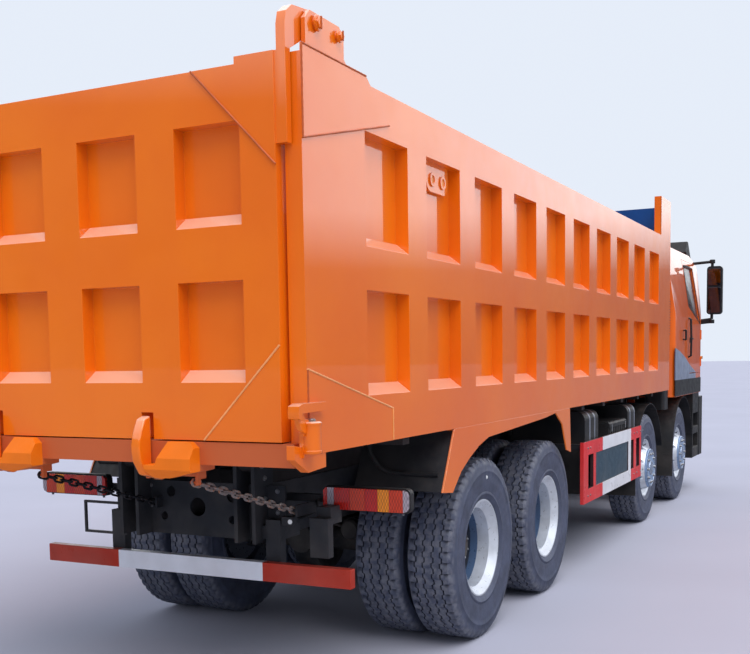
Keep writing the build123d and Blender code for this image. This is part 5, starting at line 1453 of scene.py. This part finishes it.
def make_camera():
    """Camera at the photograph's viewing angle."""
    yaw, pitch, roll = radians(YAW), radians(PITCH), radians(ROLL)
    ahead = Vector((cos(yaw) * cos(pitch), sin(yaw) * cos(pitch), sin(pitch)))
    level = Vector((sin(yaw), -cos(yaw), 0))
    upright = level.cross(ahead)
    right = level * cos(roll) + upright * sin(roll)
    up = -level * sin(roll) + upright * cos(roll)
    data = bpy.data.cameras.new("photo_view")
    data.sensor_width = SENSOR
    data.lens = SENSOR * FOCAL_PIXELS / PHOTO_WIDTH
    data.shift_y = HORIZON_SHIFT
    data.clip_end = 500
    camera = bpy.data.objects.new("photo_view", data)
    bpy.context.scene.collection.objects.link(camera)
    turn = Matrix((right, up, -ahead)).transposed().to_4x4()
    camera.matrix_world = Matrix.Translation(Vector(EYE) * MM) @ turn
    bpy.context.scene.camera = camera


def make_world():
    """An even soft light, a pale sky for the camera and glass, and one with a dark horizon for gloss."""
    world = bpy.data.worlds.new("sky")
    bpy.context.scene.world = world
    world.use_nodes = True
    tree = world.node_tree
    light = tree.nodes["Background"]
    light.inputs["Color"].default_value = SKY_LIGHT
    light.inputs["Strength"].default_value = SKY_LIGHT_STRENGTH
    place = tree.nodes.new("ShaderNodeTexCoord")
    height = tree.nodes.new("ShaderNodeSeparateXYZ")
    tree.links.new(place.outputs["Generated"], height.inputs[0])
    lean = tree.nodes.new("ShaderNodeMath")
    lean.operation = "MULTIPLY_ADD"
    lean.inputs[1].default_value = GLOSS_LEAN
    tree.links.new(height.outputs["X"], lean.inputs[0])
    tree.links.new(height.outputs["Z"], lean.inputs[2])
    rise = tree.nodes.new("ShaderNodeMapRange")
    for key, number in zip(("From Min", "From Max"), GLOSS_RISE):
        rise.inputs[key].default_value = number
    tree.links.new(lean.outputs[0], rise.inputs["Value"])
    shore = tree.nodes.new("ShaderNodeMix")
    shore.data_type = "RGBA"
    shore.inputs[6].default_value = GLOSS_HORIZON
    shore.inputs[7].default_value = GLOSS_SKY
    tree.links.new(rise.outputs["Result"], shore.inputs[0])
    gloss = tree.nodes.new("ShaderNodeBackground")
    gloss.inputs["Strength"].default_value = GLOSS_STRENGTH
    tree.links.new(shore.outputs[2], gloss.inputs["Color"])
    seen = tree.nodes.new("ShaderNodeBackground")
    seen.inputs["Color"].default_value = SKY_SEEN
    rays = tree.nodes.new("ShaderNodeLightPath")
    chosen = light.outputs[0]
    for ray, sky in (("Is Glossy Ray", gloss), ("Is Transmission Ray", seen), ("Is Camera Ray", seen)):
        mix = tree.nodes.new("ShaderNodeMixShader")
        tree.links.new(rays.outputs[ray], mix.inputs[0])
        tree.links.new(chosen, mix.inputs[1])
        tree.links.new(sky.outputs[0], mix.inputs[2])
        chosen = mix.outputs[0]
    tree.links.new(chosen, tree.nodes["World Output"].inputs["Surface"])


def make_floor():
    """Pale concrete-like floor, wide enough to reach the horizon: duller in gloss, brighter as a fill."""
    look = Look("floor_pale", 0.9, Specular_IOR_Level=0.1)
    seen = look.mix(look.span(look.noise(0.5, 2), 0.3, 0.7), srgb(186, 188, 207), srgb(191, 193, 212))
    rays = look.new("ShaderNodeLightPath")
    tone = look.mix(rays.outputs["Is Camera Ray"], srgb(222, 223, 232), seen)
    look.base(look.mix(rays.outputs["Is Glossy Ray"], tone, srgb(104, 106, 120)))
    look.bump(look.noise(40, 4), 0.001, 0.3)
    mesh = bpy.data.meshes.new("floor")
    corners = [(a * FLOOR_REACH, b * FLOOR_REACH, 0) for a, b in ((-1, -1), (1, -1), (1, 1), (-1, 1))]
    mesh.from_pydata(corners, [], [(0, 1, 2, 3)])
    mesh.materials.append(look.material)
    place_mesh("floor", mesh)


def make_lights():
    """One broad soft sun, high up, from behind the camera and a little to its right."""
    sun = bpy.data.lights.new("soft_sun", "SUN")
    sun.energy = SUN_STRENGTH
    sun.angle = radians(SUN_WIDTH)
    sun.color = SUN_COLOUR
    lamp = bpy.data.objects.new("soft_sun", sun)
    lamp.rotation_mode = "QUATERNION"
    lamp.rotation_quaternion = Vector(SUN_WAY).to_track_quat("-Z", "Y")
    bpy.context.scene.collection.objects.link(lamp)


def main():
    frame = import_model()
    for material, bevel, nodes in DRESS:
        for node in nodes:
            ends = ("left", "right") if node.endswith("_") else ("",)
            for side in ends:
                dress(frame, node + side, material, bevel)
    make_tyres()
    make_wheel_details()
    make_chains()
    make_rear_lamps()
    make_bed_details()
    make_gate_details()
    make_rear_details()
    make_side_details()
    make_cab_outside()
    make_door_details()
    make_mirror_glass()
    make_interior()
    make_camera()
    make_world()
    make_floor()
    make_lights()
    view = bpy.context.scene.view_settings
    view.view_transform = "Standard"


main()
